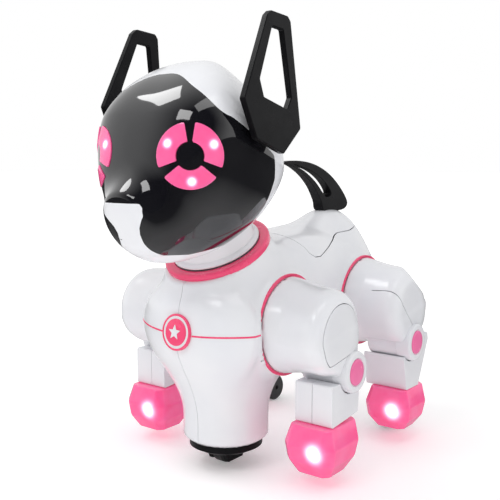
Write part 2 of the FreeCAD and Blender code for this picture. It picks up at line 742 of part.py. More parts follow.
def build_paw(leg, side, end):
    """A faceted pink shoe with a light inside; the rear shoes also carry a roller at the heel."""
    rings = [
        (f"dims.sole_{end}_z", 5.3, 6.6, 3.0, -1.0),
        ("dims.paw_wide_z - 8", 1.2, 1.4, 4.2, -0.4),
        ("dims.paw_wide_z", 0, 0, 4.4, 0),
        ("dims.ankle_z", 3.0, 1.6, 3.0, 1.4),
    ]
    shoe = doc.addObject("Part::Loft", f"paw_{leg}_shoe")
    shoe.Sections = [paw_ring(f"paw_{leg}_{i}", side, end, *ring) for i, ring in enumerate(rings)]
    shoe.Solid = True
    shoe.Ruled = True
    lamp_place = (f"{side} * dims.paw_x", f"dims.paw_{end}_y", 12)
    lamp_room = rod(f"paw_{leg}_lamp_room", 4.4, 12.4, lamp_place, (0, 0, 1))
    cuts = [lamp_room]
    if end == "rear":
        cuts.append(
            block(
                f"paw_{leg}_roller_room",
                ("dims.roller_width + 1", 40, "dims.roller_radius * 2 + 2"),
                (f"{side} * dims.roller_x - dims.roller_width / 2 - 0.5",
                 "dims.roller_y - dims.roller_radius - 1", -1),
            )
        )  # fmt: skip
        fork = new_body(f"heel_fork_{leg}_body", (0, "dims.roller_y", "dims.roller_radius"))
        arm = [(-14, -4.5), (2, -3.2), (3.2, 0), (2, 3.2), (-14, 10)]
        inner_face = "dims.roller_x - dims.roller_width / 2"
        outer_face = "dims.roller_x + dims.roller_width / 2"
        side_pad(fork, "outer_arm", side, f"{outer_face} + 0.5", f"{outer_face} + 3.1",
                 lambda s: polygon(s, arm))  # fmt: skip
        side_pad(fork, "roller_pin", side, f"{inner_face} - 1", f"{outer_face} + 3",
                 lambda s: circle(s, "dims.roller_pin_radius"))  # fmt: skip
        roller = turned(
            f"roller_{leg}_body",
            side,
            (0, "dims.roller_y", "dims.roller_radius"),
            [
                (inner_face, "dims.roller_pin_radius + dims.running"),
                (outer_face, "dims.roller_pin_radius + dims.running"),
                (outer_face, "dims.roller_radius - 1.2"),
                (f"{outer_face} - 1.2", "dims.roller_radius"),
                (f"{inner_face} + 1.2", "dims.roller_radius"),
                (inner_face, "dims.roller_radius - 1.2"),
            ],
        )
        node(roller, f"heel_roller_{leg}")
        shoe_cut = boolean("Cut", f"paw_{leg}_cut", shoe, *cuts)
        node(fuse(f"paw_{leg}_whole", shoe_cut, fork), f"paw_{leg}")
    else:
        node(boolean("Cut", f"paw_{leg}_cut", shoe, *cuts), f"paw_{leg}")
    stem = rod(f"paw_{leg}_lamp_stem", 2.5, 9, lamp_place, (0, 0, 1))
    bulb_place = (lamp_place[0], lamp_place[1], 21)
    bulb = solid("Sphere", f"paw_{leg}_lamp_bulb", {"Radius": "2.5"}, bulb_place)
    node(fuse(f"paw_{leg}_lamp", stem, bulb), f"paw_led_{leg}")


# ---------------------------------------------------------------- head

# Side view of the black visor's edge, from the brow back past the ear and down to the chin.
VISOR_OUTLINE = [
    (-69.5, 215), (-69.5, 199), (-68.4, 180.7), (-55.9, 174.2), (-36.7, 163.6), (-33.6, 152),
    (-34.8, 139), (-41.3, 124.8), (-47, 121), (-70, 117.5), (-86, 118.5), (-140, 118.5), (-140, 215),
]  # fmt: skip
# Front view of the brow that closes the visor at the top, on the left side of the dog.
BROW_HALF = [(0, 201.3), (9, 200.3), (20.5, 195), (32.8, 186.5), (38, 180.7), (40, 173), (60, 173)]
JAW_OUTLINE = [(-140, 118), (-60, 120), (-30, 140), (10, 134), (10, 60), (-140, 60)]


# The flat front of the muzzle leans back towards the chin.
NOSE_PLACE = Placement(Vector(0, -98.6, 141.0), Rotation(Vector(1, 0, 0), 27))


def eye_sectors(name, side):
    """Three ring sectors set about the eye's axis, which points forward and outward."""
    turn = math.radians(size("dims.eye_turn"))
    axis = Vector(side * math.sin(turn), -math.cos(turn), 0)
    centre = Vector(side * size("dims.eye_x"), size("dims.eye_y"), size("dims.eye_z")) - axis * 12
    facing = Rotation(Vector(0, -1, 0), axis) * Rotation(Vector(1, 0, 0), 90)
    sectors = []
    for i, middle in enumerate((30, 150, 270)):
        start = middle - size("dims.eye_sector") / 2
        sector = solid("Cylinder", f"{name}_sector_{i}", {"Radius": "dims.eye_radius", "Height": "30"})
        sector.setExpression("Angle", "dims.eye_sector")
        sector.Placement = Placement(centre, facing * Rotation(Vector(0, 0, 1), start))
        sectors.append(sector)
    core = solid("Cylinder", f"{name}_core", {"Radius": "dims.eye_inner", "Height": "30"})
    core.Placement = Placement(centre, facing)
    return boolean("Cut", name, fuse(f"{name}_ring", *sectors), core)


def build_head():
    wall = size("dims.wall")
    muzzle = solid("Sphere", "muzzle_ball", {"Radius": "20"}, (0, -79, 138))
    nose_flat = block("nose_flat", (60, 20, 80), (0, 0, 0))
    nose_flat.Placement = NOSE_PLACE * Placement(Vector(-30, -20, -45), Rotation())
    outer = boolean("Cut", "head_outer", fuse("head_solid", head_skin("head_loft", 0.0), muzzle), nose_flat)
    inner_muzzle = solid("Sphere", "muzzle_room", {"Radius": f"20 - {wall}"}, (0, -77, 138))
    inner = fuse("head_inner", head_skin("head_loft_inside", wall), inner_muzzle)
    neck_hole = neck_cone("neck_hole", -10, 24, 21, 21)
    ear_bores = [
        rod(f"ear_bore_{name}", "dims.ear_pin_radius + dims.running", 20,
            (f"{side} * 28", "dims.ear_pivot_y", "dims.ear_pivot_z"), (side, 0, 0))
        for name, side in SIDES.items()
    ]  # fmt: skip
    rooms = [inner, neck_hole, *ear_bores]
    brow = [(-x, z) for x, z in reversed(BROW_HALF)] + BROW_HALF[1:] + [(60, 90), (-60, 90)]
    visor_sides, visor_brow = prism("visor_sides", VISOR_OUTLINE), prism("visor_brow", brow, front_view=True)
    visor_zone = boolean("Common", "visor_zone", visor_sides, visor_brow)
    jaw_zone = prism("jaw_zone", JAW_OUTLINE)
    eyes = {name: eye_sectors(f"eye_cut_{name}", side) for name, side in SIDES.items()}
    front = boolean("Common", "visor_solid", outer, visor_zone)
    visor = carve("visor_shell", front, rooms)
    node(boolean("Cut", "visor_with_windows", visor, *eyes.values()), "face_visor")
    for name, cutter in eyes.items():
        lens = boolean("Common", f"eye_solid_{name}", front, cutter)
        node(boolean("Cut", f"eye_{name}", lens, inner), f"eye_lens_{name}")
    back = boolean("Cut", "white_solid", outer, visor_zone)
    jaw = boolean("Common", "jaw_solid", back, jaw_zone)
    crown = boolean("Cut", "crown_solid", back, jaw_zone)
    node(carve("jaw_shell", jaw, rooms), "head_jaw_shell")
    node(carve("crown_shell", crown, rooms), "head_top_shell")
    build_nose_plate()
    build_head_inside()


def build_nose_plate():
    plate = new_body("nose")
    plate.Placement = NOSE_PLACE
    sketch = sketch_on(plate, "nose_outline", "XZ_Plane", 0.1)
    polygon(sketch, [
        (-11.8, 0), (-12.4, -3.6), (-7.4, -10), (-7.0, -20),
        (7.0, -20), (7.4, -10), (12.4, -3.6), (11.8, 0),
    ])  # fmt: skip
    pad(plate, "nose_pad", sketch, 2.0)
    node(plate, "nose_plate")


def build_head_inside():
    node(block("eye_board_plate", (52, 1.6, 26), (-26, -60, 150)), "eye_board")
    leds = []
    for side in (1, -1):
        for angle in (30, 150, 270):
            x = side * size("dims.eye_x") * 0.8 + 6 * math.cos(math.radians(angle))
            z = size("dims.eye_z") + 6 * math.sin(math.radians(angle))
            leds.append(rod(f"eye_led_{side}_{angle}", 2.0, 7, (x, -60.0, z), (0, -1, 0)))
    node(group("eye_led_group", leds), "eye_leds")
    flare = neck_cone("neck_flare", 1.6, 14, 20.6, 17)
    spigot = rod("neck_spigot", "dims.spigot_radius", 22, tuple(along_neck(-16)), tuple(neck_axis()))
    node(fuse("neck_post_whole", flare, spigot), "neck_post")
    node(
        boolean(
            "Cut",
            "neck_bearing_plate",
            rod("neck_plate", 21, 4, tuple(along_neck(-12)), tuple(neck_axis())),
            rod("neck_plate_bore", "dims.spigot_radius + dims.running", 8, tuple(along_neck(-14)),
                tuple(neck_axis())),
        ),
        "neck_bearing",
    )  # fmt: skip


# Side view of the ear plate and its opening, counted from the ear's pivot.
EAR_OUTLINE = [
    (-23.5, 12), (-4.5, 50.5), (-1.5, 52.5), (11.8, 51.7), (13.5, 50), (19.5, 0), (4.9, -12), (-15.5, -5.4),
]  # fmt: skip
EAR_OPENING = [(-11.7, 21.2), (-1, 45.6), (7.7, 45), (12.5, 14.4), (9.1, 8.7), (-9.1, 13.4)]


def build_ear(name, side):
    body = new_body(f"ear_{name}_body", (0, "dims.ear_pivot_y", "dims.ear_pivot_z"))

    def outline(sketch):
        polygon(sketch, EAR_OUTLINE)
        polygon(sketch, EAR_OPENING)

    side_pad(body, "plate", side, "dims.ear_x", "dims.ear_x + dims.ear_thickness", outline)
    side_pad(body, "hub", side, "dims.ear_x - dims.ear_hub", "dims.ear_x", lambda s: circle(s, 6.5))
    side_pad(body, "pin", side, "dims.ear_x - 9", "dims.ear_x - dims.ear_hub",
             lambda s: circle(s, "dims.ear_pin_radius"))  # fmt: skip
    node(body, f"ear_{name}")


# ---------------------------------------------------------------- tail

# Side view of the two-pronged tail, counted from its root.
TAIL_OUTLINE = [
    (-11, 7), (10, 7), (15, 10), (8, 20), (-4, 28), (-20, 34.5), (-36, 37), (-52, 36.5),
    (-38, 32), (-26, 25), (-16, 16),
]  # fmt: skip
TAIL_SLOT = [(-8, 16), (-2, 18), (-12, 25), (-24, 30.5), (-34, 33), (-24, 27.5), (-14, 20.5)]


def build_tail():
    body = new_body("tail_body", (0, "dims.tail_y", "dims.tail_z"))
    half = "dims.tail_thickness / 2"

    def outline(sketch):
        polygon(sketch, TAIL_OUTLINE)
        polygon(sketch, TAIL_SLOT)

    side_pad(body, "blade", 1, f"-({half})", half, outline)
    root = sketch_on(body, "pin_outline", "XY_Plane", "8.6 - 20")
    circle(root, "dims.tail_pin_radius")
    pad(body, "pin", root, 20)
    node(body, "tail")


# ---------------------------------------------------------------- whole dog


def write_parts():
    """Stops on any failed object, then writes one STEP file for each sub-part."""
    doc.recompute()
    for obj in doc.Objects:
        if {"Invalid", "Error"} & set(obj.State):
            raise RuntimeError(f"{obj.Name} failed: {obj.State}")
    os.makedirs("parts", exist_ok=True)
    for obj in nodes:
        shape = obj.Shape
        if shape.isNull() or not shape.isValid() or not shape.Solids:
            raise RuntimeError(f"{obj.Label} has no valid solid")
        shape.exportStep(os.path.join("parts", obj.Label + ".step"))
    whole = Part.makeCompound([obj.Shape for obj in nodes]).BoundBox
    print(len(nodes), "nodes; box", [round(v, 2) for v in (whole.XMin, whole.XMax, whole.YMin, whole.YMax,
                                                           whole.ZMin, whole.ZMax)])  # fmt: skip


build_torso()
build_hip_rings()
build_collar()
build_chest_badge()
build_electrics()
build_column_drive()
for tag, (leg_side, leg_end) in LEGS.items():
    build_thigh(tag, leg_side, leg_end)
    build_knee(tag, leg_side, leg_end)
    build_paw(tag, leg_side, leg_end)
build_head()
for ear_name, ear_side in SIDES.items():
    build_ear(ear_name, ear_side)
build_tail()
write_parts()
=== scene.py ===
import contextlib
import itertools
import json
from math import acos, copysign, cos, degrees, hypot, pi, radians, sin, tan

import bmesh
import bpy
import numpy as np
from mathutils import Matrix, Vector

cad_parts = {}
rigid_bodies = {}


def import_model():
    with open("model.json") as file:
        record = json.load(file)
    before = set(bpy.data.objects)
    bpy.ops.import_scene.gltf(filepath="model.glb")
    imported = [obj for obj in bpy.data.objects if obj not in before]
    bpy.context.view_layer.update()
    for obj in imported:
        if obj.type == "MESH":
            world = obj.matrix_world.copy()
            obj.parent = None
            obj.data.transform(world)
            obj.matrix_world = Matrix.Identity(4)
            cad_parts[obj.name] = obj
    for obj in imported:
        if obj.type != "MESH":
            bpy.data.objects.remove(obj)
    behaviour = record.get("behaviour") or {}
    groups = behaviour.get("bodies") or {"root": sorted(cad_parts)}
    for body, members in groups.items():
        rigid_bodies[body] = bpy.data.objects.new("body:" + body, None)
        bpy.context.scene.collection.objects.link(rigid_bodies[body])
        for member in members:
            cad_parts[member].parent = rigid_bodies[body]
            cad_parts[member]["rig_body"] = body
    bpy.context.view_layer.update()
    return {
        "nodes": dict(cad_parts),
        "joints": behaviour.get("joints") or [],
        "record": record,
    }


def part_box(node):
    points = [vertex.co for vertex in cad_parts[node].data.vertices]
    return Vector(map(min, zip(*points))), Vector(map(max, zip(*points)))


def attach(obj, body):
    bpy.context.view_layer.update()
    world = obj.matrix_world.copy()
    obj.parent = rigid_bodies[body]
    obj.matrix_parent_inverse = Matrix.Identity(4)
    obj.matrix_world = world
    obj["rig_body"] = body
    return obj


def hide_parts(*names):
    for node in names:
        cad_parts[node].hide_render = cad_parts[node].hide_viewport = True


# Robot dog toy. Lengths in this file are millimetres in the row frame: +Z up, the dog looks along -Y and its
# left side is +X. Meshes are written in metres when they reach Blender.

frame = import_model()
MM = 0.001
SIDES = {"left": 1, "right": -1}
LEGS = {"fl": (1, "front"), "fr": (-1, "front"), "rl": (1, "rear"), "rr": (-1, "rear")}


def node_box(node):
    """Lowest and highest corner of a CAD node, in millimetres."""
    low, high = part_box(node)
    return np.array(low) / MM, np.array(high) / MM


def joint(name, value="pos_m"):
    return np.array(next(j for j in frame["joints"] if j["name"] == name)[value])


HIP = {end: joint(f"hip_{end[0]}l") / MM for end in ("front", "rear")}
KNEE = {end: joint(f"knee_{end[0]}l") / MM for end in ("front", "rear")}
NECK, NECK_AXIS = joint("head_turn") / MM, joint("head_turn", "axis")
EAR_PIVOT = joint("ear_left_tilt") / MM
TAIL_ROOT = joint("tail_wag") / MM

WALL = 1.8
SEAM = 0.4
COLUMN_Y = joint("turntable_swivel")[1] / MM
COLUMN_RADIUS = 22.8
COLUMN_CHAMFER = 3.0
COLUMN_BOTTOM = 14.3
PAD_X = 34.0
PAD_RADIUS = 25.5

# ---- materials


class Nodes:
    """A node tree with a few helpers."""

    def __init__(self, owner):
        owner.use_nodes = True
        self.tree = owner.node_tree

    def new(self, kind, inputs=None, **settings):
        """A node with its settings; each input is a value, or another node's output to link."""
        made = self.tree.nodes.new("ShaderNode" + kind)
        for key, value in settings.items():
            setattr(made, key, value)
        for key, value in (inputs or {}).items():
            if isinstance(value, bpy.types.NodeSocket):
                self.link(value, made.inputs[key])
            else:
                made.inputs[key].default_value = value
        return made

    def link(self, output, target):
        self.tree.links.new(output, target)

    def find(self, kind):
        return next(n for n in self.tree.nodes if n.type == kind)

    def ramp(self, value, low, high, positions=(0.3, 0.7)):
        made = self.new("ValToRGB", {"Fac": value})
        for element, place, color in zip(made.color_ramp.elements, positions, (low, high)):
            element.position = place
            element.color = (*color, 1)
        return made.outputs["Color"]


class Shader(Nodes):
    """A Principled material with procedural detail."""

    def __init__(self, name, color, roughness, **sockets):
        self.material = bpy.data.materials.new(name)
        super().__init__(self.material)
        self.bsdf = self.find("BSDF_PRINCIPLED")
        self.coordinates = self.new("TexCoord").outputs["Object"]
        self.bsdf.inputs["Base Color"].default_value = (*color, 1)
        self.bsdf.inputs["Roughness"].default_value = roughness
        for socket, value in sockets.items():
            self.bsdf.inputs[socket.replace("_", " ")].default_value = value
        self.height = None

    def noise(self, scale, detail=3.0, stretch=None):
        place = self.coordinates
        if stretch:
            place = self.new("Mapping", {"Vector": place, "Scale": stretch}).outputs["Vector"]
        return self.new("TexNoise", {"Vector": place, "Scale": scale, "Detail": detail}).outputs["Fac"]

    def spread(self, value, low, high, start=0.0, stop=1.0):
        inputs = {"Value": value, "From Min": start, "From Max": stop, "To Min": low, "To Max": high}
        return self.new("MapRange", inputs).outputs["Result"]

    def vary_color(self, scale, low, high):
        self.link(self.ramp(self.noise(scale), low, high), self.bsdf.inputs["Base Color"])

    def vary_roughness(self, scale, low, high, stretch=None):
        self.link(self.spread(self.noise(scale, stretch=stretch), low, high), self.bsdf.inputs["Roughness"])

    def bump(self, height, strength, distance):
        made = self.new("Bump", {"Strength": strength, "Distance": distance * MM, "Height": height})
        if self.height:
            self.link(self.height, made.inputs["Normal"])
        self.height = made.outputs["Normal"]
        self.link(self.height, self.bsdf.inputs["Normal"])


def white_plastic():
    """Glossy moulded ABS: clean white with the faint orange peel of a moulding."""
    s = Shader("white_plastic", (0.83, 0.84, 0.87), 0.22, Coat_Weight=0.35, Coat_Roughness=0.08,
               Specular_IOR_Level=0.45)
    s.vary_color(28, (0.80, 0.81, 0.85), (0.86, 0.865, 0.89))
    s.vary_roughness(90, 0.17, 0.28)
    s.bump(s.noise(420, 2.0), 0.05, 0.05)
    s.bump(s.noise(3200, 1.0), 0.03, 0.01)
    return s.material


def black_gloss():
    """The mask: mirror-polished black with the lightest haze of handling."""
    s = Shader("black_gloss", (0.006, 0.006, 0.008), 0.05, Coat_Weight=0.8, Coat_Roughness=0.02,
               Specular_IOR_Level=0.6)
    s.vary_color(40, (0.004, 0.004, 0.006), (0.010, 0.010, 0.012))
    s.vary_roughness(60, 0.035, 0.085)
    s.bump(s.noise(160, 1.0), 0.02, 0.04)
    return s.material


def black_satin():
    """Ears, tail and column base: black moulding with a fine spark-eroded grain."""
    s = Shader("black_satin", (0.008, 0.008, 0.009), 0.3, Coat_Weight=0.08, Coat_Roughness=0.15,
               Specular_IOR_Level=0.1)
    s.vary_color(120, (0.004, 0.004, 0.005), (0.008, 0.008, 0.009))
    s.vary_roughness(260, 0.22, 0.38)
    s.bump(s.noise(2600, 2.0), 0.12, 0.03)
    return s.material


def black_rubber():
    s = Shader("black_rubber", (0.02, 0.02, 0.021), 0.6, Sheen_Weight=0.1)
    s.vary_color(160, (0.014, 0.014, 0.015), (0.032, 0.031, 0.031))
    s.vary_roughness(200, 0.5, 0.75)
    s.bump(s.noise(900, 4.0), 0.25, 0.08)
    return s.material


def pink_solid(name, color, dark):
    """Opaque pink trim."""
    s = Shader(name, color, 0.25, Coat_Weight=0.3, Coat_Roughness=0.1)
    s.vary_color(70, dark, color)
    s.vary_roughness(140, 0.2, 0.32)
    s.bump(s.noise(900, 2.0), 0.05, 0.02)
    return s.material


def lit_pink(name, lamps, glow_radius, glow=0.16, spark=2.0):
    """Translucent pink lit from behind: it glows all over and burns white in front of each lamp."""
    s = Shader(name, (0.98, 0.12, 0.32), 0.16, Coat_Weight=0.6, Coat_Roughness=0.05,
               Subsurface_Weight=0.35, Subsurface_Scale=0.006)
    s.bsdf.inputs["Subsurface Radius"].default_value = (1.0, 0.35, 0.5)
    s.vary_color(110, (0.98, 0.10, 0.30), (0.98, 0.16, 0.38))
    s.vary_roughness(180, 0.1, 0.22)
    s.bump(s.noise(700, 2.0), 0.04, 0.03)
    nearest = None
    for lamp in lamps:
        place = [v * MM for v in lamp]
        distance = s.new("VectorMath", {0: s.coordinates, 1: place}, operation="DISTANCE").outputs["Value"]
        if nearest:
            distance = s.new("Math", {0: nearest, 1: distance}, operation="MINIMUM").outputs["Value"]
        nearest = distance
    fall_off = {"Value": nearest, "From Min": glow_radius * MM, "From Max": 0.0}
    close = s.new("MapRange", fall_off, interpolation_type="SMOOTHERSTEP").outputs["Result"]
    sharp = s.new("Math", {0: close, 1: 4.5}, operation="POWER").outputs["Value"]
    color = s.ramp(sharp, (1.0, 0.10, 0.30), (1.0, 0.92, 0.96), (0.0, 0.8))
    s.link(color, s.bsdf.inputs["Emission Color"])
    s.link(s.spread(sharp, glow, spark), s.bsdf.inputs["Emission Strength"])
    return s.material


def brushed_steel():
    s = Shader("bright_steel", (0.62, 0.62, 0.64), 0.3, Metallic=1.0)
    s.vary_roughness(400, 0.2, 0.42, stretch=(1, 12, 12))
    s.bump(s.noise(1500, 2.0, stretch=(1, 10, 10)), 0.08, 0.02)
    return s.material


def moulded(name, low, high, roughness):
    s = Shader(name, high, roughness)
    s.vary_color(90, low, high)
    s.vary_roughness(300, roughness - 0.08, roughness + 0.1)
    s.bump(s.noise(1800, 2.0), 0.12, 0.03)
    return s.material


def circuit_board():
    """Green board with the pale tracks of a printed circuit."""
    s = Shader("circuit_board", (0.02, 0.14, 0.06), 0.35)
    pattern = {"Vector": s.coordinates, "Scale": 260}
    tracks = s.new("TexVoronoi", pattern, feature="DISTANCE_TO_EDGE").outputs["Distance"]
    color = s.ramp(tracks, (0.08, 0.33, 0.14), (0.015, 0.11, 0.045), (0.03, 0.08))
    s.link(color, s.bsdf.inputs["Base Color"])
    s.vary_roughness(300, 0.28, 0.42)
    s.bump(tracks, 0.2, 0.05)
    return s.material


# ---- fields


def smooth_min(a, b, k):
    h = np.clip(0.5 + 0.5 * (b - a) / k, 0, 1)
    return b * (1 - h) + a * h - k * h * (1 - h)


def smooth_max(a, b, k):
    return -smooth_min(-a, -b, k)


def curve(t, knots):
    """A smooth curve through (place, value) knots, level beyond its ends."""
    xs = np.array([k[0] for k in knots], float)
    ys = np.array([k[1] for k in knots], float)
    slopes = np.gradient(ys, xs)
    slopes[0] = slopes[-1] = 0.0
    t = np.clip(t, xs[0], xs[-1])
    i = np.clip(np.searchsorted(xs, t, side="right") - 1, 0, len(xs) - 2)
    span = xs[i + 1] - xs[i]
    u = (t - xs[i]) / span
    return (
        (1 + 2 * u) * (1 - u) ** 2 * ys[i]
        + u * (1 - u) ** 2 * span * slopes[i]
        + u**2 * (3 - 2 * u) * ys[i + 1]
        + u**2 * (u - 1) * span * slopes[i + 1]
    )


def ellipsoid(p, centre, radii):
    scaled = np.linalg.norm((p - np.array(centre)) / np.array(radii), axis=-1)
    return (scaled - 1) * min(radii)


def half_plane(y, z, start, end):
    """Signed distance in the side view, positive on the right of the line from start to end."""
    dy, dz = end[0] - start[0], end[1] - start[1]
    return ((y - start[0]) * dz - (z - start[1]) * dy) / hypot(dy, dz)


def convex(y, z, corners, k):
    """Rounded convex polygon in the side view; corners run anticlockwise in (y, z)."""
    sides = [half_plane(y, z, a, b) for a, b in zip(corners, corners[1:] + corners[:1])]
    field = sides[0]
    for side in sides[1:]:
        field = smooth_max(field, side, k)
    return field


# Body along the dog: place on Y, then half width, half height, height of the middle and squareness.
TORSO_FRONT, TORSO_BACK, TORSO_END_POWER = -62.4, 100.5, 2.6
TORSO_WIDTHS = [
    (-64, 55), (-57, 54.5), (-51, 55), (-49, 54.5), (-47, 52.2), (-45, 49.4), (-43, 46), (-41, 43.4),
    (-38, 41.4), (-30, 38), (-8, 34), (20, 31), (50, 35), (74, 39), (100, 42),
]
TORSO_HEIGHTS = [(-64, 40), (-46, 39.6), (-30, 38.6), (-8, 38.5), (20, 38), (50, 37.2), (74, 38), (100, 38)]
TORSO_MIDDLES = [
    (-64, 80), (-57, 79), (-46, 76.5), (-30, 77.5), (-8, 82.5), (20, 84), (50, 84.5), (74, 86), (100, 90),
]
TORSO_SQUARENESS = [(-64, 2.0), (-46, 2.0), (-30, 2.3), (-8, 2.6), (50, 2.8), (74, 2.5), (100, 2.2)]
# Typical radii, which turn the torso's and the head's ratios into lengths.
TORSO_SCALE, HEAD_SCALE = 34, 38
THROAT_RADIUS, THROAT_HEIGHT = 27.6, 28
HIP_CLEARANCE = 0.9
# Swellings under the tail and along the back: centre and radii.
HUMP = ((0, 72, 108), (19, 25, 24))
RIDGE = ((0, 52, 112), (13, 30, 12))


def body_field(p):
    """The barrel of the torso, without its column, neck, humps and hip pads."""
    x, y, z = np.abs(p[..., 0]), p[..., 1], p[..., 2]
    middle, half_length = (TORSO_FRONT + TORSO_BACK) / 2, (TORSO_BACK - TORSO_FRONT) / 2
    squareness = curve(y, TORSO_SQUARENESS)
    across = (x / curve(y, TORSO_WIDTHS)) ** squareness
    upright = (np.abs(z - curve(y, TORSO_MIDDLES)) / curve(y, TORSO_HEIGHTS)) ** squareness
    ring = (across + upright) ** (TORSO_END_POWER / squareness)
    whole = ring + np.abs((y - middle) / half_length) ** TORSO_END_POWER
    return (whole ** (1 / TORSO_END_POWER) - 1) * TORSO_SCALE


def torso_field(p):
    """The whole torso: barrel, column, throat, back and the four hip pads."""
    x, y, z = np.abs(p[..., 0]), p[..., 1], p[..., 2]
    field = body_field(p)
    from_column = np.hypot(x, y - COLUMN_Y)
    flare = curve(z, [(10, 0), (34, 0.4), (52, 3), (70, 8)])
    column = smooth_max(from_column - COLUMN_RADIUS - flare, z - 74, 12)
    field = smooth_min(field, column, 13)
    along = (p - NECK) @ NECK_AXIS
    from_neck = np.linalg.norm((p - NECK) - along[..., None] * NECK_AXIS, axis=-1)
    throat_side = from_neck - THROAT_RADIUS - np.clip(-along, 0, 40) * 0.16
    throat_ends = np.abs(along + THROAT_HEIGHT / 2) - THROAT_HEIGHT / 2
    field = smooth_min(field, smooth_max(throat_side, throat_ends, 2), 7)
    field = smooth_min(field, ellipsoid(p, *HUMP), 9)
    field = smooth_min(field, ellipsoid(p, *RIDGE), 8)
    for end in HIP.values():
        from_hip = np.hypot(y - end[1], z - end[2])
        pad = np.maximum(from_hip - PAD_RADIUS, x - PAD_X)
        field = smooth_min(field, np.maximum(pad, 20 - x), 6)
    for end in HIP.values():
        from_hip = np.hypot(y - end[1], z - end[2])
        clearance = np.maximum(from_hip - PAD_RADIUS - HIP_CLEARANCE, PAD_X - x)
        field = smooth_max(field, -clearance, 0.8)
    rise = z - COLUMN_BOTTOM
    foot = from_column - COLUMN_RADIUS + COLUMN_CHAMFER - rise - 0.2 * rise**2
    field = smooth_max(field, foot, 1.5)
    field = np.maximum(field, -rise)
    field = np.maximum(field, along + 1.9)
    return smooth_max(field, z - 131.2, 2)


HEAD_CENTRE = np.array((0, -55.1, 169.35))
HEAD_PITCH = radians(-24.2)
HEAD_SIDE_POWER, HEAD_PLAN_POWER = 1.69, 3.23
HEAD_WIDTH, HEAD_FRONT, HEAD_BACK, HEAD_TOP, HEAD_BOTTOM = 40.0, 33.8, 48.0, 42.4, 60.0
NOSE_TOP = np.array((0, -100.2, 141.0))
NOSE_LEAN = radians(27)
MUZZLE = ((0, -80, 136.5), (18.2, 25.5, 18.0))


def head_field(p):
    """An egg leaning back, and the muzzle with its slanted face."""
    q = p - HEAD_CENTRE
    along = q[..., 1] * cos(HEAD_PITCH) + q[..., 2] * sin(HEAD_PITCH)
    rise = -q[..., 1] * sin(HEAD_PITCH) + q[..., 2] * cos(HEAD_PITCH)
    depth = np.abs(along) / np.where(along < 0, HEAD_FRONT, HEAD_BACK)
    height = np.abs(rise) / np.where(rise > 0, HEAD_TOP, HEAD_BOTTOM)
    across = np.abs(q[..., 0] / HEAD_WIDTH)
    plan = (across**HEAD_PLAN_POWER + depth**HEAD_PLAN_POWER) ** (1 / HEAD_PLAN_POWER)
    egg = ((plan**HEAD_SIDE_POWER + height**HEAD_SIDE_POWER) ** (1 / HEAD_SIDE_POWER) - 1) * HEAD_SCALE
    muzzle = ellipsoid(p, *MUZZLE)
    face = (p - NOSE_TOP) @ np.array((0, -cos(NOSE_LEAN), -sin(NOSE_LEAN)))
    muzzle = smooth_max(muzzle, face, 3)
    return smooth_min(egg, muzzle, 9)


# The thigh's drum: its radius along X, its end and its lean forward; then the skirts in side view.
DRUM_RADII = [(34, 25.0), (36, 24.6), (46, 22.6), (52, 21.9), (58, 21.6), (67, 21.6)]
DRUM_END = 67.6
DRUM_SHEAR = 0.17
KNEE_RADIUS = 10.6
FRONT_SKIRT = [(-19.5, -6), (-11.3, -24), (4, -24), (9, -27), (17, -18), (12, 0)]
REAR_SKIRT = [(-15.5, -8), (-12, -17.2), (8, -18.5), (16, -12), (16, 0)]
SKIRT_IN, SKIRT_OUT = 43.5, 66.0
BARREL_MIDDLE, BARREL_HALF = 55, 12
REAR_SLANT_POINT, REAR_SLANT = (64.5, 62, 95), (0.62, 0.45, 0.64)


def thigh_field(p, end):
    """The drum, the skirt below it and the barrel that carries the knee, on the left side of the dog."""
    x, y, z = p[..., 0], p[..., 1] - HIP[end][1], p[..., 2] - HIP[end][2]
    forward = y + DRUM_SHEAR * np.clip(x - 44, 0, 30)
    drum = smooth_max(np.hypot(forward, z) - curve(x, DRUM_RADII), x - DRUM_END, 9.5)
    skirt = convex(y, z, FRONT_SKIRT if end == "front" else REAR_SKIRT, 1.4)
    skirt = smooth_max(skirt, np.abs(x - (SKIRT_IN + SKIRT_OUT) / 2) - (SKIRT_OUT - SKIRT_IN) / 2, 2.5)
    field = smooth_min(drum, skirt, 4)
    knee = KNEE[end] - HIP[end]
    barrel = np.hypot(y - knee[1], z - knee[2]) - KNEE_RADIUS + 0.5
    barrel = smooth_max(barrel, np.abs(x - BARREL_MIDDLE) - BARREL_HALF, 2)
    field = smooth_min(field, barrel, 1.0)
    if end == "rear":
        slant = (p - np.array(REAR_SLANT_POINT)) @ np.array(REAR_SLANT)
        field = smooth_max(field, slant, 1.2)
    return np.maximum(field, PAD_X + 0.7 - x)


# ---- meshes


def in_scene(obj):
    bpy.context.scene.collection.objects.link(obj)


def gradient(field, points, h=0.05):
    steps = np.eye(3) * h
    return np.stack([(field(points + s) - field(points - s)) / (2 * h) for s in steps], -1)


def settle(field, points, step, rounds=4):
    """Moves points onto the field's surface."""
    for _ in range(rounds):
        slope = gradient(field, points)
        move = field(points)[:, None] * slope / np.maximum((slope**2).sum(-1), 1e-3)[:, None]
        size = np.linalg.norm(move, axis=-1)[:, None]
        points = points - move * np.minimum(1, step / np.maximum(size, 1e-9))
    return points


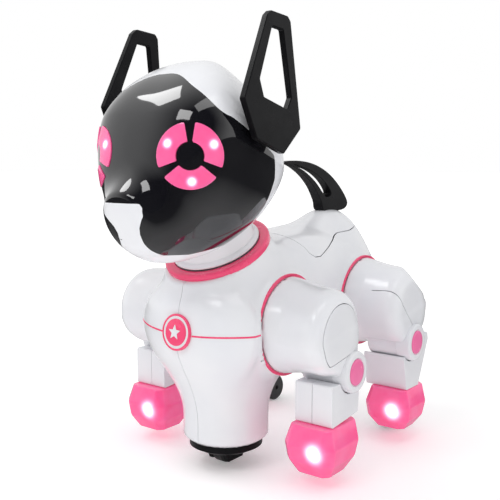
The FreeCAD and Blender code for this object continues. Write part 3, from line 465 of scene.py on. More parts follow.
def skin(field, low, high, step):
    """The field's surface as evenly spread quads: one vertex for each grid cell that the surface crosses."""
    axes = [np.arange(a - 2 * step, b + 2 * step, step) for a, b in zip(low, high)]
    grid = np.stack(np.meshgrid(*axes, indexing="ij"), -1)
    values = field(grid)
    cells = tuple(n - 1 for n in values.shape)
    count, total = np.zeros(cells), np.zeros((*cells, 3))
    for a in range(3):
        b, c = (a + 1) % 3, (a + 2) % 3
        order = (a, b, c)
        v, g = values.transpose(order), grid.transpose((*order, 3))
        crossed = (v[:-1] < 0) != (v[1:] < 0)
        share = np.where(crossed, v[:-1] / np.where(crossed, v[:-1] - v[1:], 1), 0)
        point = (g[:-1] + (g[1:] - g[:-1]) * share[..., None]) * crossed[..., None]
        n, t = count.transpose(order), total.transpose((*order, 3))
        for db, dc in itertools.product((0, 1), (0, 1)):
            part = (slice(None), slice(db, db + n.shape[1]), slice(dc, dc + n.shape[2]))
            n += crossed[part]
            t += point[part]
    used = count > 0
    index = np.full(cells, -1)
    index[used] = np.arange(used.sum())
    vertices = total[used] / count[used][:, None]
    quads = []
    for a in range(3):
        order = (a, (a + 1) % 3, (a + 2) % 3)
        v, ids = values.transpose(order), index.transpose(order)
        low_in = (v[:-1] < 0)[:, 1:-1, 1:-1]
        crossed = low_in != (v[1:] < 0)[:, 1:-1, 1:-1]
        corners = [ids[:, :-1, :-1], ids[:, 1:, :-1], ids[:, 1:, 1:], ids[:, :-1, 1:]]
        face = np.stack([corner[crossed] for corner in corners], -1)
        inward = ~low_in[crossed]
        face[inward] = face[inward][:, ::-1]
        quads.append(face)
    quads = np.concatenate(quads)
    for _ in range(3):
        near, weight = np.zeros_like(vertices), np.zeros(len(vertices))
        for i in range(4):
            here, there = quads[:, i], quads[:, (i + 1) % 4]
            for one, other in ((here, there), (there, here)):
                np.add.at(near, one, vertices[other])
                np.add.at(weight, one, 1)
        vertices = settle(field, 0.5 * vertices + 0.5 * near / weight[:, None], step, 2)
    return settle(field, vertices, step), quads


def mesh_object(name, vertices, faces, material=None):
    mesh = bpy.data.meshes.new(name)
    mesh.from_pydata((np.asarray(vertices, float) * MM).tolist(), [], [list(map(int, f)) for f in faces])
    mesh.validate()
    if material:
        mesh.materials.append(material)
    mesh.polygons.foreach_set("use_smooth", [True] * len(mesh.polygons))
    obj = bpy.data.objects.new(name, mesh)
    in_scene(obj)
    return obj


@contextlib.contextmanager
def editing(obj):
    """An object's mesh as a bmesh, written back at the end."""
    work = bmesh.new()
    work.from_mesh(obj.data)
    yield work
    work.to_mesh(obj.data)
    work.free()


def face_outwards(obj):
    """Turns the faces of a closed mesh outwards."""
    with editing(obj) as work:
        bmesh.ops.recalc_face_normals(work, faces=work.faces)


def mirrored(obj, name):
    """The same piece on the other side of the dog."""
    made = obj.copy()
    made.data = obj.data.copy()
    made.name = made.data.name = name
    in_scene(made)
    with editing(made) as work:
        for v in work.verts:
            v.co.x = -v.co.x
        bmesh.ops.reverse_faces(work, faces=work.faces)
    return made


def rounded(outline, radius, steps=4, least_turn=12):
    """An outline with its corners replaced by arcs."""
    points = [np.array(p, float) for p in outline]
    made = []
    for before, here, after in zip(points[-1:] + points[:-1], points, points[1:] + points[:1]):
        a, b = before - here, after - here
        la, lb = np.linalg.norm(a), np.linalg.norm(b)
        a, b = a / la, b / lb
        turn = pi - acos(np.clip(a @ b, -1, 1))
        if degrees(turn) < least_turn:
            made.append(tuple(here))
            continue
        cut = min(radius * tan(turn / 2), 0.45 * la, 0.45 * lb)
        for i in range(steps + 1):
            t = i / steps
            made.append(tuple(here + a * cut * (1 - t) ** 2 + b * cut * t**2))
    return made


def smooth_outline(points, steps=5):
    """A closed curve through all the points."""
    p = np.array(points, float)
    made = []
    for i in range(len(p)):
        p0, p1, p2, p3 = (p[(i + k) % len(p)] for k in (-1, 0, 1, 2))
        for j in range(steps):
            t = j / steps
            made.append(tuple(0.5 * (2 * p1 + (p2 - p0) * t + (2 * p0 - 5 * p1 + 4 * p2 - p3) * t**2
                                     + (3 * p1 - p0 - 3 * p2 + p3) * t**3)))
    return made


def plate(name, outline, to_space, depth, holes=(), material=None):
    """A flat outline with holes, made thick; to_space turns (u, v, height) into a point."""
    work = bmesh.new()
    edges = []
    for loop in (outline, *holes):
        verts = [work.verts.new(Vector(to_space(u, v, depth[0])) * MM) for u, v in loop]
        edges += [work.edges.new((a, b)) for a, b in zip(verts, verts[1:] + verts[:1])]
    bmesh.ops.triangle_fill(work, edges=edges, use_beauty=True, use_dissolve=True)
    grown = bmesh.ops.extrude_face_region(work, geom=list(work.faces))
    shift = Vector(to_space(0, 0, depth[1])) * MM - Vector(to_space(0, 0, depth[0])) * MM
    top = [g for g in grown["geom"] if isinstance(g, bmesh.types.BMVert)]
    bmesh.ops.translate(work, vec=shift, verts=top)
    bmesh.ops.recalc_face_normals(work, faces=work.faces)
    obj = mesh_object(name, [], [], material)
    work.to_mesh(obj.data)
    work.free()
    return obj


def side_view(u, v, height):
    return (height, u, v)


def front_view(u, v, height):
    return (u, height, v)


def lathe(name, profile, origin, axis, material, segments=96):
    """A closed profile of (distance along the axis, radius) turned about the axis."""
    axis = Vector(axis).normalized()
    side = axis.orthogonal().normalized()
    other = axis.cross(side)
    vertices, faces = [], []
    for i in range(segments):
        angle = 2 * pi * i / segments
        out = side * cos(angle) + other * sin(angle)
        vertices += [Vector(origin) + axis * d + out * r for d, r in profile]
    n = len(profile)
    for i, k in itertools.product(range(segments), range(n)):
        a, b = i * n, (i + 1) % segments * n
        faces.append((a + k, b + k, b + (k + 1) % n, a + (k + 1) % n))
    obj = mesh_object(name, vertices, faces, material)
    with editing(obj) as work:
        bmesh.ops.remove_doubles(work, verts=work.verts, dist=0.01 * MM)
        bmesh.ops.dissolve_degenerate(work, edges=work.edges, dist=0.001 * MM)
        bmesh.ops.recalc_face_normals(work, faces=work.faces)
    return obj


def finish_edges(obj, width, segments=3, angle=35):
    """Rounds the piece's sharp edges and keeps its faces flat in the light."""
    bevel = obj.modifiers.new("rounded_edges", "BEVEL")
    bevel.width = width * MM
    bevel.segments = segments
    bevel.limit_method = "ANGLE"
    bevel.angle_limit = radians(angle)
    bevel.use_clamp_overlap = True
    normals = obj.modifiers.new("even_shading", "WEIGHTED_NORMAL")
    normals.keep_sharp = True
    return obj


CUT = bpy.data.materials.new("cut_surface")


def zone(name, outline, depth, to_space=side_view, holes=()):
    """A thick plate that only cuts others."""
    obj = plate(name, outline, to_space, depth, holes, CUT)
    obj.hide_render = True
    return obj


def combine(obj, cutter, operation, material_mode="INDEX"):
    """Replaces a closed mesh by its DIFFERENCE or INTERSECT with another."""
    change = obj.modifiers.new("combine", "BOOLEAN")
    change.operation, change.object, change.solver = operation, cutter, "EXACT"
    change.material_mode = material_mode
    bpy.context.view_layer.update()
    made = bpy.data.meshes.new_from_object(obj.evaluated_get(bpy.context.evaluated_depsgraph_get()))
    obj.modifiers.remove(change)
    obj.data = made


def region(name, master, cuts, material, thickness=WALL, edge=0.3, proud=0.0):
    """One shell of a master body: cut to its zone, opened up, made thick inwards and eased at its rim."""
    obj = master.copy()
    obj.data = master.data.copy()
    obj.name = name
    obj.hide_render = False
    in_scene(obj)
    for cutter, operation in cuts:
        combine(obj, cutter, operation, "TRANSFER")
    inner = [i for i, m in enumerate(obj.data.materials) if m == CUT]
    with editing(obj) as work:
        bmesh.ops.delete(work, geom=[f for f in work.faces if f.material_index in inner], context="FACES")
        bmesh.ops.remove_doubles(work, verts=work.verts, dist=0.02 * MM)
        for f in work.faces:
            f.material_index = 0
            f.smooth = True
    obj.data.name = name
    obj.data.materials.clear()
    obj.data.materials.append(material)
    thick = obj.modifiers.new("wall", "SOLIDIFY")
    thick.thickness = (thickness + proud) * MM
    thick.offset = -1 + 2 * proud / (thickness + proud)
    if edge:
        finish_edges(obj, edge, 2, 50)
    return obj


def shrunk(outline, gap):
    """A closed outline moved inwards, leaving the gap of a seam round it."""
    points = [np.array(p, float) for p in outline]
    area = sum(a[0] * b[1] - a[1] * b[0] for a, b in zip(points, points[1:] + points[:1]))
    made = []
    for before, here, after in zip(points[-1:] + points[:-1], points, points[1:] + points[:1]):
        along = (after - before) / np.linalg.norm(after - before)
        made.append(tuple(here + copysign(gap, area) * np.array((-along[1], along[0]))))
    return made


def settled(obj, body, *replaced, slot="white_shell"):
    """Puts a finished piece on its body and hides the CAD nodes it stands for."""
    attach(obj, body)
    if replaced:
        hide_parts(*replaced)
    return obj


def shell(name, master, cuts, body, node, slot="white_shell", **finish):
    """A region of a master body, in its slot's material, that stands for a CAD node."""
    settled(region(name, master, cuts, CARRIED[slot], **finish), body, node, slot=slot)


def turned(name, profile, place, axis, edge, body, *replaced, slot="white_shell", material=None, segments=96):
    """A finished turned piece on its body."""
    made = lathe(name, profile, place, axis, material or CARRIED[slot], segments)
    settled(finish_edges(made, edge), body, *replaced, slot=slot)


WHITE, MASK, SATIN, RUBBER = white_plastic(), black_gloss(), black_satin(), black_rubber()
TRIM = pink_solid("pink_trim", (0.98, 0.08, 0.21), (0.92, 0.065, 0.185))
KNOB = pink_solid("pink_knob", (0.98, 0.20, 0.44), (0.93, 0.17, 0.40))
CARRIED = {
    "white_shell": WHITE,
    "pink_trim": TRIM,
    "black_gloss": MASK,
    "black_satin": SATIN,
    "black_rubber": RUBBER,
    "inner_plastic": moulded("inner_plastic", (0.22, 0.22, 0.24), (0.28, 0.28, 0.30), 0.45),
    "bright_steel": brushed_steel(),
    "cell_jacket": moulded("cell_jacket", (0.02, 0.07, 0.03), (0.04, 0.11, 0.05), 0.3),
    "circuit_board": circuit_board(),
    "led_body": lit_pink("led_body", [(0, 0, 0)], 1.0, glow=3.0, spark=3.0),
    "pink_lens": lit_pink("pink_plain", [(0, 0, 0)], 1.0, glow=0.4, spark=0.4),
}

# ---- torso

# Side views: the back cover, which dips to a flap behind the shoulder, and the opening for the power switch.
SADDLE = [
    (3, 150), (4.5, 122), (9.5, 117.6), (12.4, 114.2), (14.6, 110.6), (18.6, 108.2), (24, 108.2),
    (31, 110.9), (39.5, 114.2), (47, 116.4), (56, 118.4), (70, 119), (84, 121), (97, 150),
]
SWITCH_SLOT, SWITCH_SLOT_HALF = [(61.7, 40), (68.6, 40), (68.6, 58), (61.7, 58)], 6.6
HALF_SEAM = 0.11
BADGE_CENTRE_Z = 77.3
STRIPE_MIDDLE_Y, STRIPE_WIDTH, STRIPE_SUNK, STRIPE_PROUD = -20.0, 0.85, 0.5, 0.22
# Where the stripe starts and ends, in degrees off -Y, and how high it is there.
STRIPE_START, STRIPE_END = (12.2, 76.4), (56.5, 77.6)


def build_torso():
    master = mesh_object("torso_master", *skin(torso_field, (-46, -66, 12), (46, 102, 134), 1.5), WHITE)
    outline = rounded(SADDLE, 2.5)
    saddle = zone("saddle_zone", outline, (-60, 60))
    inside_seam = zone("saddle_inside_seam", shrunk(outline, SEAM), (-60, 60))
    slot = zone("switch_slot", SWITCH_SLOT, (-SWITCH_SLOT_HALF, SWITCH_SLOT_HALF))
    whole_side = [(-90, 0), (120, 0), (120, 160), (-90, 160)]
    for name, side in SIDES.items():
        half = zone(f"half_{name}", whole_side, (side * HALF_SEAM, side * 70))
        cuts = [(half, "INTERSECT"), (saddle, "DIFFERENCE"), (slot, "DIFFERENCE")]
        shell(f"torso_{name}", master, cuts, "torso", f"torso_{name}_shell")
    shell("saddle_cover", master, [(inside_seam, "INTERSECT")], "torso", "back_cover")


def first_inside(line):
    """The first point of a line that is inside the torso, and the way out of the surface there."""
    point = line[int(np.argmax(torso_field(line) < 0))]
    out = gradient(torso_field, point[None])[0]
    return point, out / np.linalg.norm(out)


def chest_stripe(name, side, steps=36):
    """A pink line inlaid along the chest, from the badge to the hip ring."""
    reach = np.linspace(60, 12, 600)
    vertices, faces = [], []
    for i in range(steps + 1):
        turn, z = (a + (b - a) * i / steps for a, b in zip(STRIPE_START, STRIPE_END))
        turn = radians(turn)
        away = np.array((side * sin(turn), -cos(turn), 0))
        for dz in (-STRIPE_WIDTH / 2, STRIPE_WIDTH / 2):
            point, out = first_inside(np.array((0, STRIPE_MIDDLE_Y, z + dz)) + reach[:, None] * away)
            vertices += [point - out * STRIPE_SUNK, point + out * STRIPE_PROUD]
    for a in range(0, 4 * steps, 4):
        b = a + 4
        faces += [(a + 1, a + 3, b + 3, b + 1), (a, a + 1, b + 1, b)]
        faces += [(a + 3, a + 2, b + 2, b + 3), (a + 2, a, b, b + 2)]
    faces += [(0, 2, 3, 1), (4 * steps + 1, 4 * steps + 3, 4 * steps + 2, 4 * steps)]
    stripe = mesh_object(name, vertices, faces, TRIM)
    face_outwards(stripe)
    settled(finish_edges(stripe, 0.12, 2), "torso", slot="pink_trim")


def build_badge():
    """A round badge: pink rim, white band, pink disc and a plain white star."""
    ys = np.linspace(-75, -12, 500)
    line = np.stack([np.zeros_like(ys), ys, np.full_like(ys, BADGE_CENTRE_Z)], -1)
    point, out = first_inside(line)
    origin = tuple(point)
    band_profile = [(-2.5, 0), (-2.5, 8.9), (0.35, 8.9), (0.8, 8.4), (0.8, 0)]
    turned("badge_band", band_profile, origin, out, 0.25, "torso")
    rim_profile = [(-1.5, 8.0), (-1.5, 9.1), (0.7, 9.1), (1.15, 8.8), (1.15, 8.3), (0.8, 8.0)]
    turned("badge_rim", rim_profile, origin, out, 0.2, "torso", slot="pink_trim")
    disc_profile = [(0, 0), (0, 6.7), (1.1, 6.7), (1.5, 6.1), (1.75, 4), (1.85, 0)]
    turned("badge_disc", disc_profile, origin, out, 0.2, "torso", "chest_badge", slot="pink_trim")
    up = np.array((0, 0, 1)) - out * out[2]
    up /= np.linalg.norm(up)
    right = np.cross(up, out)
    star = []
    for i in range(10):
        angle, reach = pi / 2 + i * pi / 5, (3.9, 1.75)[i % 2]
        star.append((reach * cos(angle), reach * sin(angle)))

    def on_badge(u, v, h):
        return tuple(point + right * u + up * v + out * h)

    mark = plate("badge_star", star, on_badge, (1.3, 2.1), (), WHITE)
    settled(finish_edges(mark, 0.12, 2), "torso")


def build_trim():
    """The four hip rings, which are one CAD node, the collar and the chest's stripe."""
    profile = [(-0.6, 24.7), (-0.6, 26.3), (0.35, 26.3), (0.55, 26.0), (0.55, 24.7)]
    replaced = ["hip_rings"]
    for end, centre in HIP.items():
        for name, side in SIDES.items():
            place = (side * PAD_X, centre[1], centre[2])
            ring = lathe(f"hip_ring_{end}_{name}", profile, place, (side, 0, 0), TRIM, 128)
            finish_edges(ring, 0.15, 2)
            settled(ring, "torso", *replaced, slot="pink_trim")
            replaced = []
    profile = [(-2.4, 22.7), (-2.4, 28.0), (0.2, 28.0), (0.9, 27.5), (1.25, 26.6), (0.9, 23.2), (0.4, 22.7)]
    turned("collar", profile, NECK, NECK_AXIS, 0.3, "torso", "collar_ring", slot="pink_trim", segments=128)
    for name, side in SIDES.items():
        chest_stripe(f"chest_stripe_{name}", side)


# ---- head

# Side views of the visor and of the jaw; front views of the brow and of half the nose plate.
VISOR = [
    (-69.2, 215), (-69.2, 199), (-72, 190), (-74.6, 186.5), (-68.4, 180.7), (-55.9, 174.2), (-36.7, 163.6),
    (-33.6, 152), (-34.8, 139), (-41.3, 124.8), (-47, 121), (-61, 118.8), (-70, 117.3), (-86, 118.0),
    (-140, 118.0), (-140, 215),
]
BROW_HALF = [(0, 201.3), (9, 200.3), (20.5, 195), (32.8, 186.5), (38, 180.6), (60, 155)]
JAW = [(-140, 121.5), (-60, 121.5), (-30, 140), (10, 134), (10, 60), (-140, 60)]
NOSE_HALF = [
    (11.2, 142.2), (12.4, 140.4), (12.3, 136.6), (8.2, 131.2), (7.2, 128), (7.6, 124), (9.4, 120),
    (11.4, 116),
]
CHIN_Z = 118
EYE_CENTRE = np.array((26.0, -81.5, 163.0))
EYE_TURN = radians(41)
EYE_RADIUS, EYE_HUB, EYE_SECTOR = 14.6, 6.3, 101
EYE_MIDDLES = (30, 150, 270)
EYE_GAP, LAMP_RADIUS = 0.18, 10.2


def eye_frame(side):
    """Middle of an eye, the way it looks and its own sideways direction."""
    axis = np.array((side * sin(EYE_TURN), -cos(EYE_TURN), 0.0))
    right = np.array((cos(EYE_TURN), side * sin(EYE_TURN), 0.0))
    return EYE_CENTRE * (side, 1, 1), axis, right


def eye_outlines(grow):
    """Three sectors of a ring round the black hub of the eye."""
    outlines = []
    half = radians(EYE_SECTOR / 2)
    for middle in EYE_MIDDLES:
        start = radians(middle)
        outer = [start - half + 2 * half * i / 14 for i in range(15)]
        inner = [start + half - 2 * half * i / 8 for i in range(9)]
        ring = [((EYE_RADIUS + grow) * cos(a), (EYE_RADIUS + grow) * sin(a)) for a in outer]
        ring += [((EYE_HUB - grow) * cos(a), (EYE_HUB - grow) * sin(a)) for a in inner]
        outlines.append(rounded(ring, 1.3, least_turn=40))
    return outlines


def eye_zone(name, side, grow):
    centre, axis, right = eye_frame(side)

    def to_space(u, v, h):
        return tuple(centre + right * u + np.array((0, 0, 1.0)) * v + axis * h)

    first, *rest = eye_outlines(grow)
    return zone(name, first, (-14, 24), to_space, rest)


def smooth_brow():
    """The brow's line from the dog's right side to its left."""
    xs = np.linspace(-60, 60, 61)
    return list(zip(xs, curve(np.abs(xs), BROW_HALF)))


def build_head():
    master = mesh_object("head_master", *skin(head_field, (-42, -106, 106), (42, 0, 216), 1.25), WHITE)
    visor_zone = zone("visor_zone", rounded(VISOR, 3), (-60, 60))
    brow = smooth_brow() + [(60, 90), (-60, 90)]
    combine(visor_zone, zone("brow_zone", brow, (-150, 10), front_view), "INTERSECT")
    jaw_zone = zone("jaw_zone", JAW, (-60, 60))
    nose = rounded(NOSE_HALF + [(-x, z) for x, z in reversed(NOSE_HALF)], 1.5)
    nose_zone = zone("nose_zone", nose, (-125, -78), front_view)
    above = zone("above_chin", [(-140, CHIN_Z), (0, CHIN_Z), (0, 200), (-140, 200)], (-50, 50))
    cuts = [(visor_zone, "INTERSECT"), (nose_zone, "DIFFERENCE")]
    cuts += [(eye_zone(f"window_{name}", side, EYE_GAP), "DIFFERENCE") for name, side in SIDES.items()]
    shell("mask", master, cuts, "head", "face_visor", "black_gloss", edge=0.35)
    cuts = [(visor_zone, "DIFFERENCE"), (jaw_zone, "DIFFERENCE")]
    shell("crown", master, cuts, "head", "head_top_shell")
    cuts = [(jaw_zone, "INTERSECT"), (visor_zone, "DIFFERENCE")]
    shell("jaw", master, cuts, "head", "head_jaw_shell", edge=0.1)
    cuts = [(nose_zone, "INTERSECT"), (above, "INTERSECT")]
    shell("nose_plate_shell", master, cuts, "head", "nose_plate", edge=0.1)
    for name, side in SIDES.items():
        centre, _, right = eye_frame(side)
        lamps = []
        for middle in EYE_MIDDLES:
            a = radians(middle)
            spot = centre + right * LAMP_RADIUS * cos(a) + np.array((0, 0, LAMP_RADIUS)) * sin(a)
            lamps.append(tuple(settle(head_field, spot[None], 2.0, 8)[0]))
        glow = lit_pink(f"eye_glow_{name}", lamps, 6.5)
        cuts = [(eye_zone(f"lens_zone_{name}", side, 0.0), "INTERSECT")]
        lens = region(f"eye_{name}", master, cuts, glow, thickness=2.2, edge=0.45, proud=0.5)
        settled(lens, "head", f"eye_lens_{name}", slot="pink_lens")


def build_neck():
    profile = [
        (-16, 0), (-16, 8), (1.4, 8), (1.4, 23.0), (2.2, 23.2), (3.6, 22.0), (4.0, 20.9), (4.6, 21.0),
        (9, 20.2), (15, 17.5), (15, 0),
    ]
    turned("neck", profile, NECK, NECK_AXIS, 0.35, "head", "neck_post", segments=128)


# Side views of the ear and its opening, counted from its pivot; then its place on X, thickness and lean.
EAR = [
    (-23.5, 12), (-4.5, 50.2), (-1.5, 52.5), (11.8, 51.7), (13.9, 49.5), (19.5, 0), (4.9, -12), (-15.5, -5.4),
]
EAR_OPENING = [(-11.7, 21.2), (-1, 45.6), (7.7, 45), (12.5, 14.4), (9.1, 8.7), (-9.1, 13.4)]
EAR_OUT, EAR_THICK, EAR_LEAN = 43.6, 3.2, 0.045


def build_ears():
    def to_space(u, v, h):
        return (h - EAR_LEAN * v, EAR_PIVOT[1] + u, EAR_PIVOT[2] + v)

    for name, side in SIDES.items():
        depth, opening = (EAR_OUT, EAR_OUT + EAR_THICK), rounded(EAR_OPENING, 1.2)
        blade = plate("ear", rounded(EAR, 1.6), to_space, depth, [opening], SATIN)
        profile = [(0, 0), (0, 3.0), (5.6, 3.0), (5.6, 6.0), (7.0, 6.6), (9.4, 8.2), (9.4, 0)]
        hub = lathe("ear_hub", profile, (EAR_OUT - 9, EAR_PIVOT[1], EAR_PIVOT[2]), (1, 0, 0), SATIN, 48)
        if side < 0:
            blade, hub = mirrored(blade, "ear_right_blade"), mirrored(hub, "ear_right_hub")
        blade.name, hub.name = f"ear_{name}_blade", f"ear_{name}_hub"
        settled(finish_edges(blade, 0.75, 3), f"ear_{name}", f"ear_{name}", slot="black_satin")
        settled(finish_edges(hub, 0.4), f"ear_{name}", slot="black_satin")


# ---- tail

# Side views, counted from the tail's joint; the blade thins towards its tip.
TAIL = [
    (-11, 6.2), (9, 6.2), (15.5, 9.5), (13.5, 14.5), (6, 21.8), (-3, 28), (-14, 32.8), (-26, 35.8), (-40, 37),
    (-52.5, 36.2), (-44, 33.6), (-33, 28.6), (-23, 21.5), (-15.5, 13),
]
TAIL_SLOT = [
    (-9, 14.5), (-3.4, 16.5), (-6.6, 21), (-14, 26.2), (-24, 30.6), (-35, 33.4), (-43, 34.6), (-32, 30.8),
    (-21, 24.6), (-13, 17.6),
]
TAIL_HALF = 3.6
TAIL_THINNING, THINNING_START, THINNING_LENGTH = 0.55, 8, 30


def build_tail():
    def to_space(u, v, h):
        return (h, TAIL_ROOT[1] + u, TAIL_ROOT[2] + v)

    outline, slot = smooth_outline(TAIL, 4), smooth_outline(TAIL_SLOT, 4)
    blade = plate("tail_blade", outline, to_space, (-TAIL_HALF, TAIL_HALF), [slot], SATIN)
    for v in blade.data.vertices:
        share = (v.co.z / MM - TAIL_ROOT[2] - THINNING_START) / THINNING_LENGTH
        v.co.x *= 1.0 - TAIL_THINNING * min(1.0, max(0.0, share))
    settled(finish_edges(blade, 1.1, 3, 30), "tail", "tail", slot="black_satin")


# ---- legs

# The front cap is most of a circle; the rear one is an outline in side view, counted from the hip.
CAP_RADIUS = 16.6
CAP_OFFSET = (-3.4, -1.4)
REAR_CAP = [(-26, 17), (-16.4, 3.5), (-4.3, -10), (6, -14.5), (34, -14.5), (34, 34), (-26, 34)]
SHIN_GAP = 0.6
ANKLE_Z = 31.7
# Each shin's pieces on X: the front ones are two halves with a seam between them.
SHIN_SPANS = {"front": [(45.0, 54.85), (55.1, 66.5)], "rear": [(41.0, 66.5)]}


def cap_outline(end):
    if end == "rear":
        return rounded([(HIP[end][1] + u, HIP[end][2] + v) for u, v in REAR_CAP], 4)
    angles = [radians(-128 - 264 * i / 40) for i in range(41)]
    middle = HIP[end][1:] + np.array(CAP_OFFSET)
    arc = [(middle[0] + CAP_RADIUS * cos(a), middle[1] + CAP_RADIUS * sin(a)) for a in angles]
    return rounded(arc, 2.0, least_turn=30)


def build_thighs():
    for end in ("front", "rear"):
        low = (PAD_X, HIP[end][1] - 28, HIP[end][2] - 36)
        high = (70, HIP[end][1] + 28, HIP[end][2] + 28)
        surface = skin(lambda p, e=end: thigh_field(p, e), low, high, 1.1)
        master = mesh_object(f"thigh_master_{end}", *surface, WHITE)
        depth = (61 if end == "front" else 51, 80)
        cap_room = zone(f"cap_room_{end}", cap_outline(end), depth)
        cap_zone = zone(f"cap_zone_{end}", shrunk(cap_outline(end), SEAM), depth)
        place = (62, *KNEE[end][1:])
        knob = lathe(f"knob_zone_{end}", [(0, 0), (0, 9.2), (20, 9.2), (20, 0)], place, (1, 0, 0), CUT, 48)
        knob.hide_render = True
        thigh_cuts = [(cap_room, "DIFFERENCE"), (knob, "DIFFERENCE")]
        cap_cuts = [(cap_zone, "INTERSECT"), (knob, "DIFFERENCE")]
        thigh = region(f"thigh_{end}_left", master, thigh_cuts, WHITE)
        cap = region(f"thigh_cap_{end}_left", master, cap_cuts, WHITE)
        for leg, (side, leg_end) in LEGS.items():
            if leg_end == end:
                for made, name, node in ((thigh, "shell", f"thigh_{leg}"), (cap, "cap", f"thigh_cap_{leg}")):
                    piece = made if side > 0 else mirrored(made, "other_side")
                    piece.name = f"thigh_{leg}_{name}"
                    settled(piece, f"thigh_{leg}", node)


def build_knees():
    """The round housing over each knee and the pink face of its pin."""
    ring = [
        (-9, 0), (-9, 9.6), (-8.5, 10.6), (-1.5, 10.6), (-0.5, 10.25), (0, 9.4), (0, 7.3), (-0.7, 6.9),
        (-0.9, 0),
    ]
    disc = [(-1.4, 0), (-1.4, 6.6), (-0.2, 6.6), (0.1, 6.2), (0.25, 5.2), (0.35, 0)]
    for leg, (side, end) in LEGS.items():
        place = (side * 70.0, KNEE[end][1], KNEE[end][2])
        out, body = (side, 0, 0), f"thigh_{leg}"
        turned(f"knee_{leg}_ring", ring, place, out, 0.3, body)
        pin = f"knee_pin_{leg}"
        turned(f"knee_{leg}_disc", disc, place, out, 0.2, body, pin, slot="pink_trim", material=KNOB)


def saddle_arc(reach, start, end, steps=14):
    angles = [radians(start + (end - start) * i / steps) for i in range(steps + 1)]
    return [(reach * cos(a), reach * sin(a)) for a in angles]


def shin_outline(end, ankle):
    """Side view of a shin, counted from the knee, hollowed round the knee barrel."""
    start, stop = (-44, -158) if end == "front" else (-14, -140)
    arc = saddle_arc(KNEE_RADIUS + SHIN_GAP, start, stop)
    if end == "front":
        return [(-18, ankle), (7.4, ankle + 2.6), (8.2, -9), *arc, (-18, -4.2)]
    return [(-5.5, ankle), (9.4, ankle), (15.5, -15), (21.5, -2), (20.2, 2.8), (14.2, -2.2), *arc, (-9.2, -9)]


def build_shins():
    for leg, (side, end) in LEGS.items():
        knee = KNEE[end]
        outline = rounded(shin_outline(end, ANKLE_Z - knee[2]), 1.2, least_turn=25)
        placed = [(knee[1] + u, knee[2] + v) for u, v in outline]
        spans = SHIN_SPANS[end]
        for i, (x_from, x_to) in enumerate(spans):
            half = plate(f"shin_{leg}_{i}", placed, side_view, (x_from, x_to), (), WHITE)
            if side < 0:
                half = mirrored(half, "other_shin")
            half.name = f"shin_{leg}_{'outer' if i else 'inner'}"
            finish_edges(half, 1.3 if len(spans) == 1 else 0.7, 3)
            settled(half, f"shin_{leg}", *([f"shin_{leg}"] if i == 0 else []))


# The shoe of each end: middle on Y, half width, half length and height of the sole.
PAWS = {"front": (-18.0, 14.8, 16.0, 6.5), "rear": (62.5, 14.2, 14.6, 8.0)}
# Its rings above the sole: height, how much narrower and shorter than the widest, corner cut and shift on Y.
SOLE_RING = (5.3, 6.6, 3.0, -1.0)
PAW_RINGS = [(14.0, 1.2, 1.4, 4.2, -0.4), (22.0, 0.0, 0.0, 4.4, 0.0), (31.6, 3.0, 1.6, 3.0, 1.4)]
PAW_X = 55.8
PAW_LAMP_OUT, PAW_LAMP_Z = 5, 20
ROLLER_GAP = 0.6
# Side view of a heel roller's arm, counted from the roller's axle.
HEEL_ARM = [(-13, -4.5), (2, -3.4), (3.4, 0), (2, 3.4), (-13, 10)]


def make_roller_room(shoe, leg, side, material):
    """Cuts a rear paw's heel away round its roller, and adds the arm that holds the roller."""
    low, high = node_box(f"heel_roller_{leg}")
    front, back, top = low[1] - 1, high[1] + 9, high[2] + 1
    outline = [(front, -3), (back, -3), (back, top), (front, top)]
    depth = (low[0] - ROLLER_GAP, high[0] + ROLLER_GAP)
    combine(shoe, plate(f"roller_room_{leg}", outline, side_view, depth, (), material), "DIFFERENCE")
    middle = (low + high) / 2
    arm = rounded([(middle[1] + u, middle[2] + v) for u, v in HEEL_ARM], 2)
    outer = depth[1] if side > 0 else depth[0]
    fork = plate(f"heel_fork_{leg}", arm, side_view, (outer, outer + side * 2.4), (), KNOB)
    settled(finish_edges(fork, 0.4), f"shin_{leg}", slot="pink_lens")


def build_paws():
    for leg, (side, end) in LEGS.items():
        middle_y, half_width, half_length, sole = PAWS[end]
        vertices, faces = [], []
        for z, narrower, shorter, c, shift in [(sole, *SOLE_RING), *PAW_RINGS]:
            w, l = half_width - narrower, half_length - shorter
            ring = [(w - c, -l), (w, c - l), (w, l - c), (w - c, l)]
            ring += [(-dx, dy) for dx, dy in reversed(ring)]
            vertices += [(side * (PAW_X + dx), middle_y + shift + dy, z) for dx, dy in ring]
        for i, k in itertools.product(range(len(PAW_RINGS)), range(8)):
            here, there = 8 * i + k, 8 * i + (k + 1) % 8
            faces.append((here, there, there + 8, here + 8))
        faces += [tuple(reversed(range(8))), tuple(range(8 * len(PAW_RINGS), 8 * len(PAW_RINGS) + 8))]
        spot = (side * PAW_X + PAW_LAMP_OUT, middle_y - half_length, PAW_LAMP_Z)
        glow = lit_pink(f"paw_glow_{leg}", [spot], 15.0, spark=2.2)
        shoe = mesh_object(f"paw_{leg}_shoe", vertices, faces, glow)
        face_outwards(shoe)
        if end == "rear":
            make_roller_room(shoe, leg, side, glow)
        settled(finish_edges(shoe, 1.0, 3, 8), f"shin_{leg}", f"paw_{leg}", slot="pink_lens")


# ---- carried-over nodes and the studio


def dress_cad_nodes():
    """Every CAD node that still shows gets its slot's material and eased edges."""
    slots = {s["node"]: s["material_slot"] for s in frame["record"]["subparts"]}
    for name, obj in frame["nodes"].items():
        obj.data.materials.clear()
        obj.data.materials.append(CARRIED[slots[name]])
        if not obj.hide_render:
            finish_edges(obj, 0.25, 2, 40)


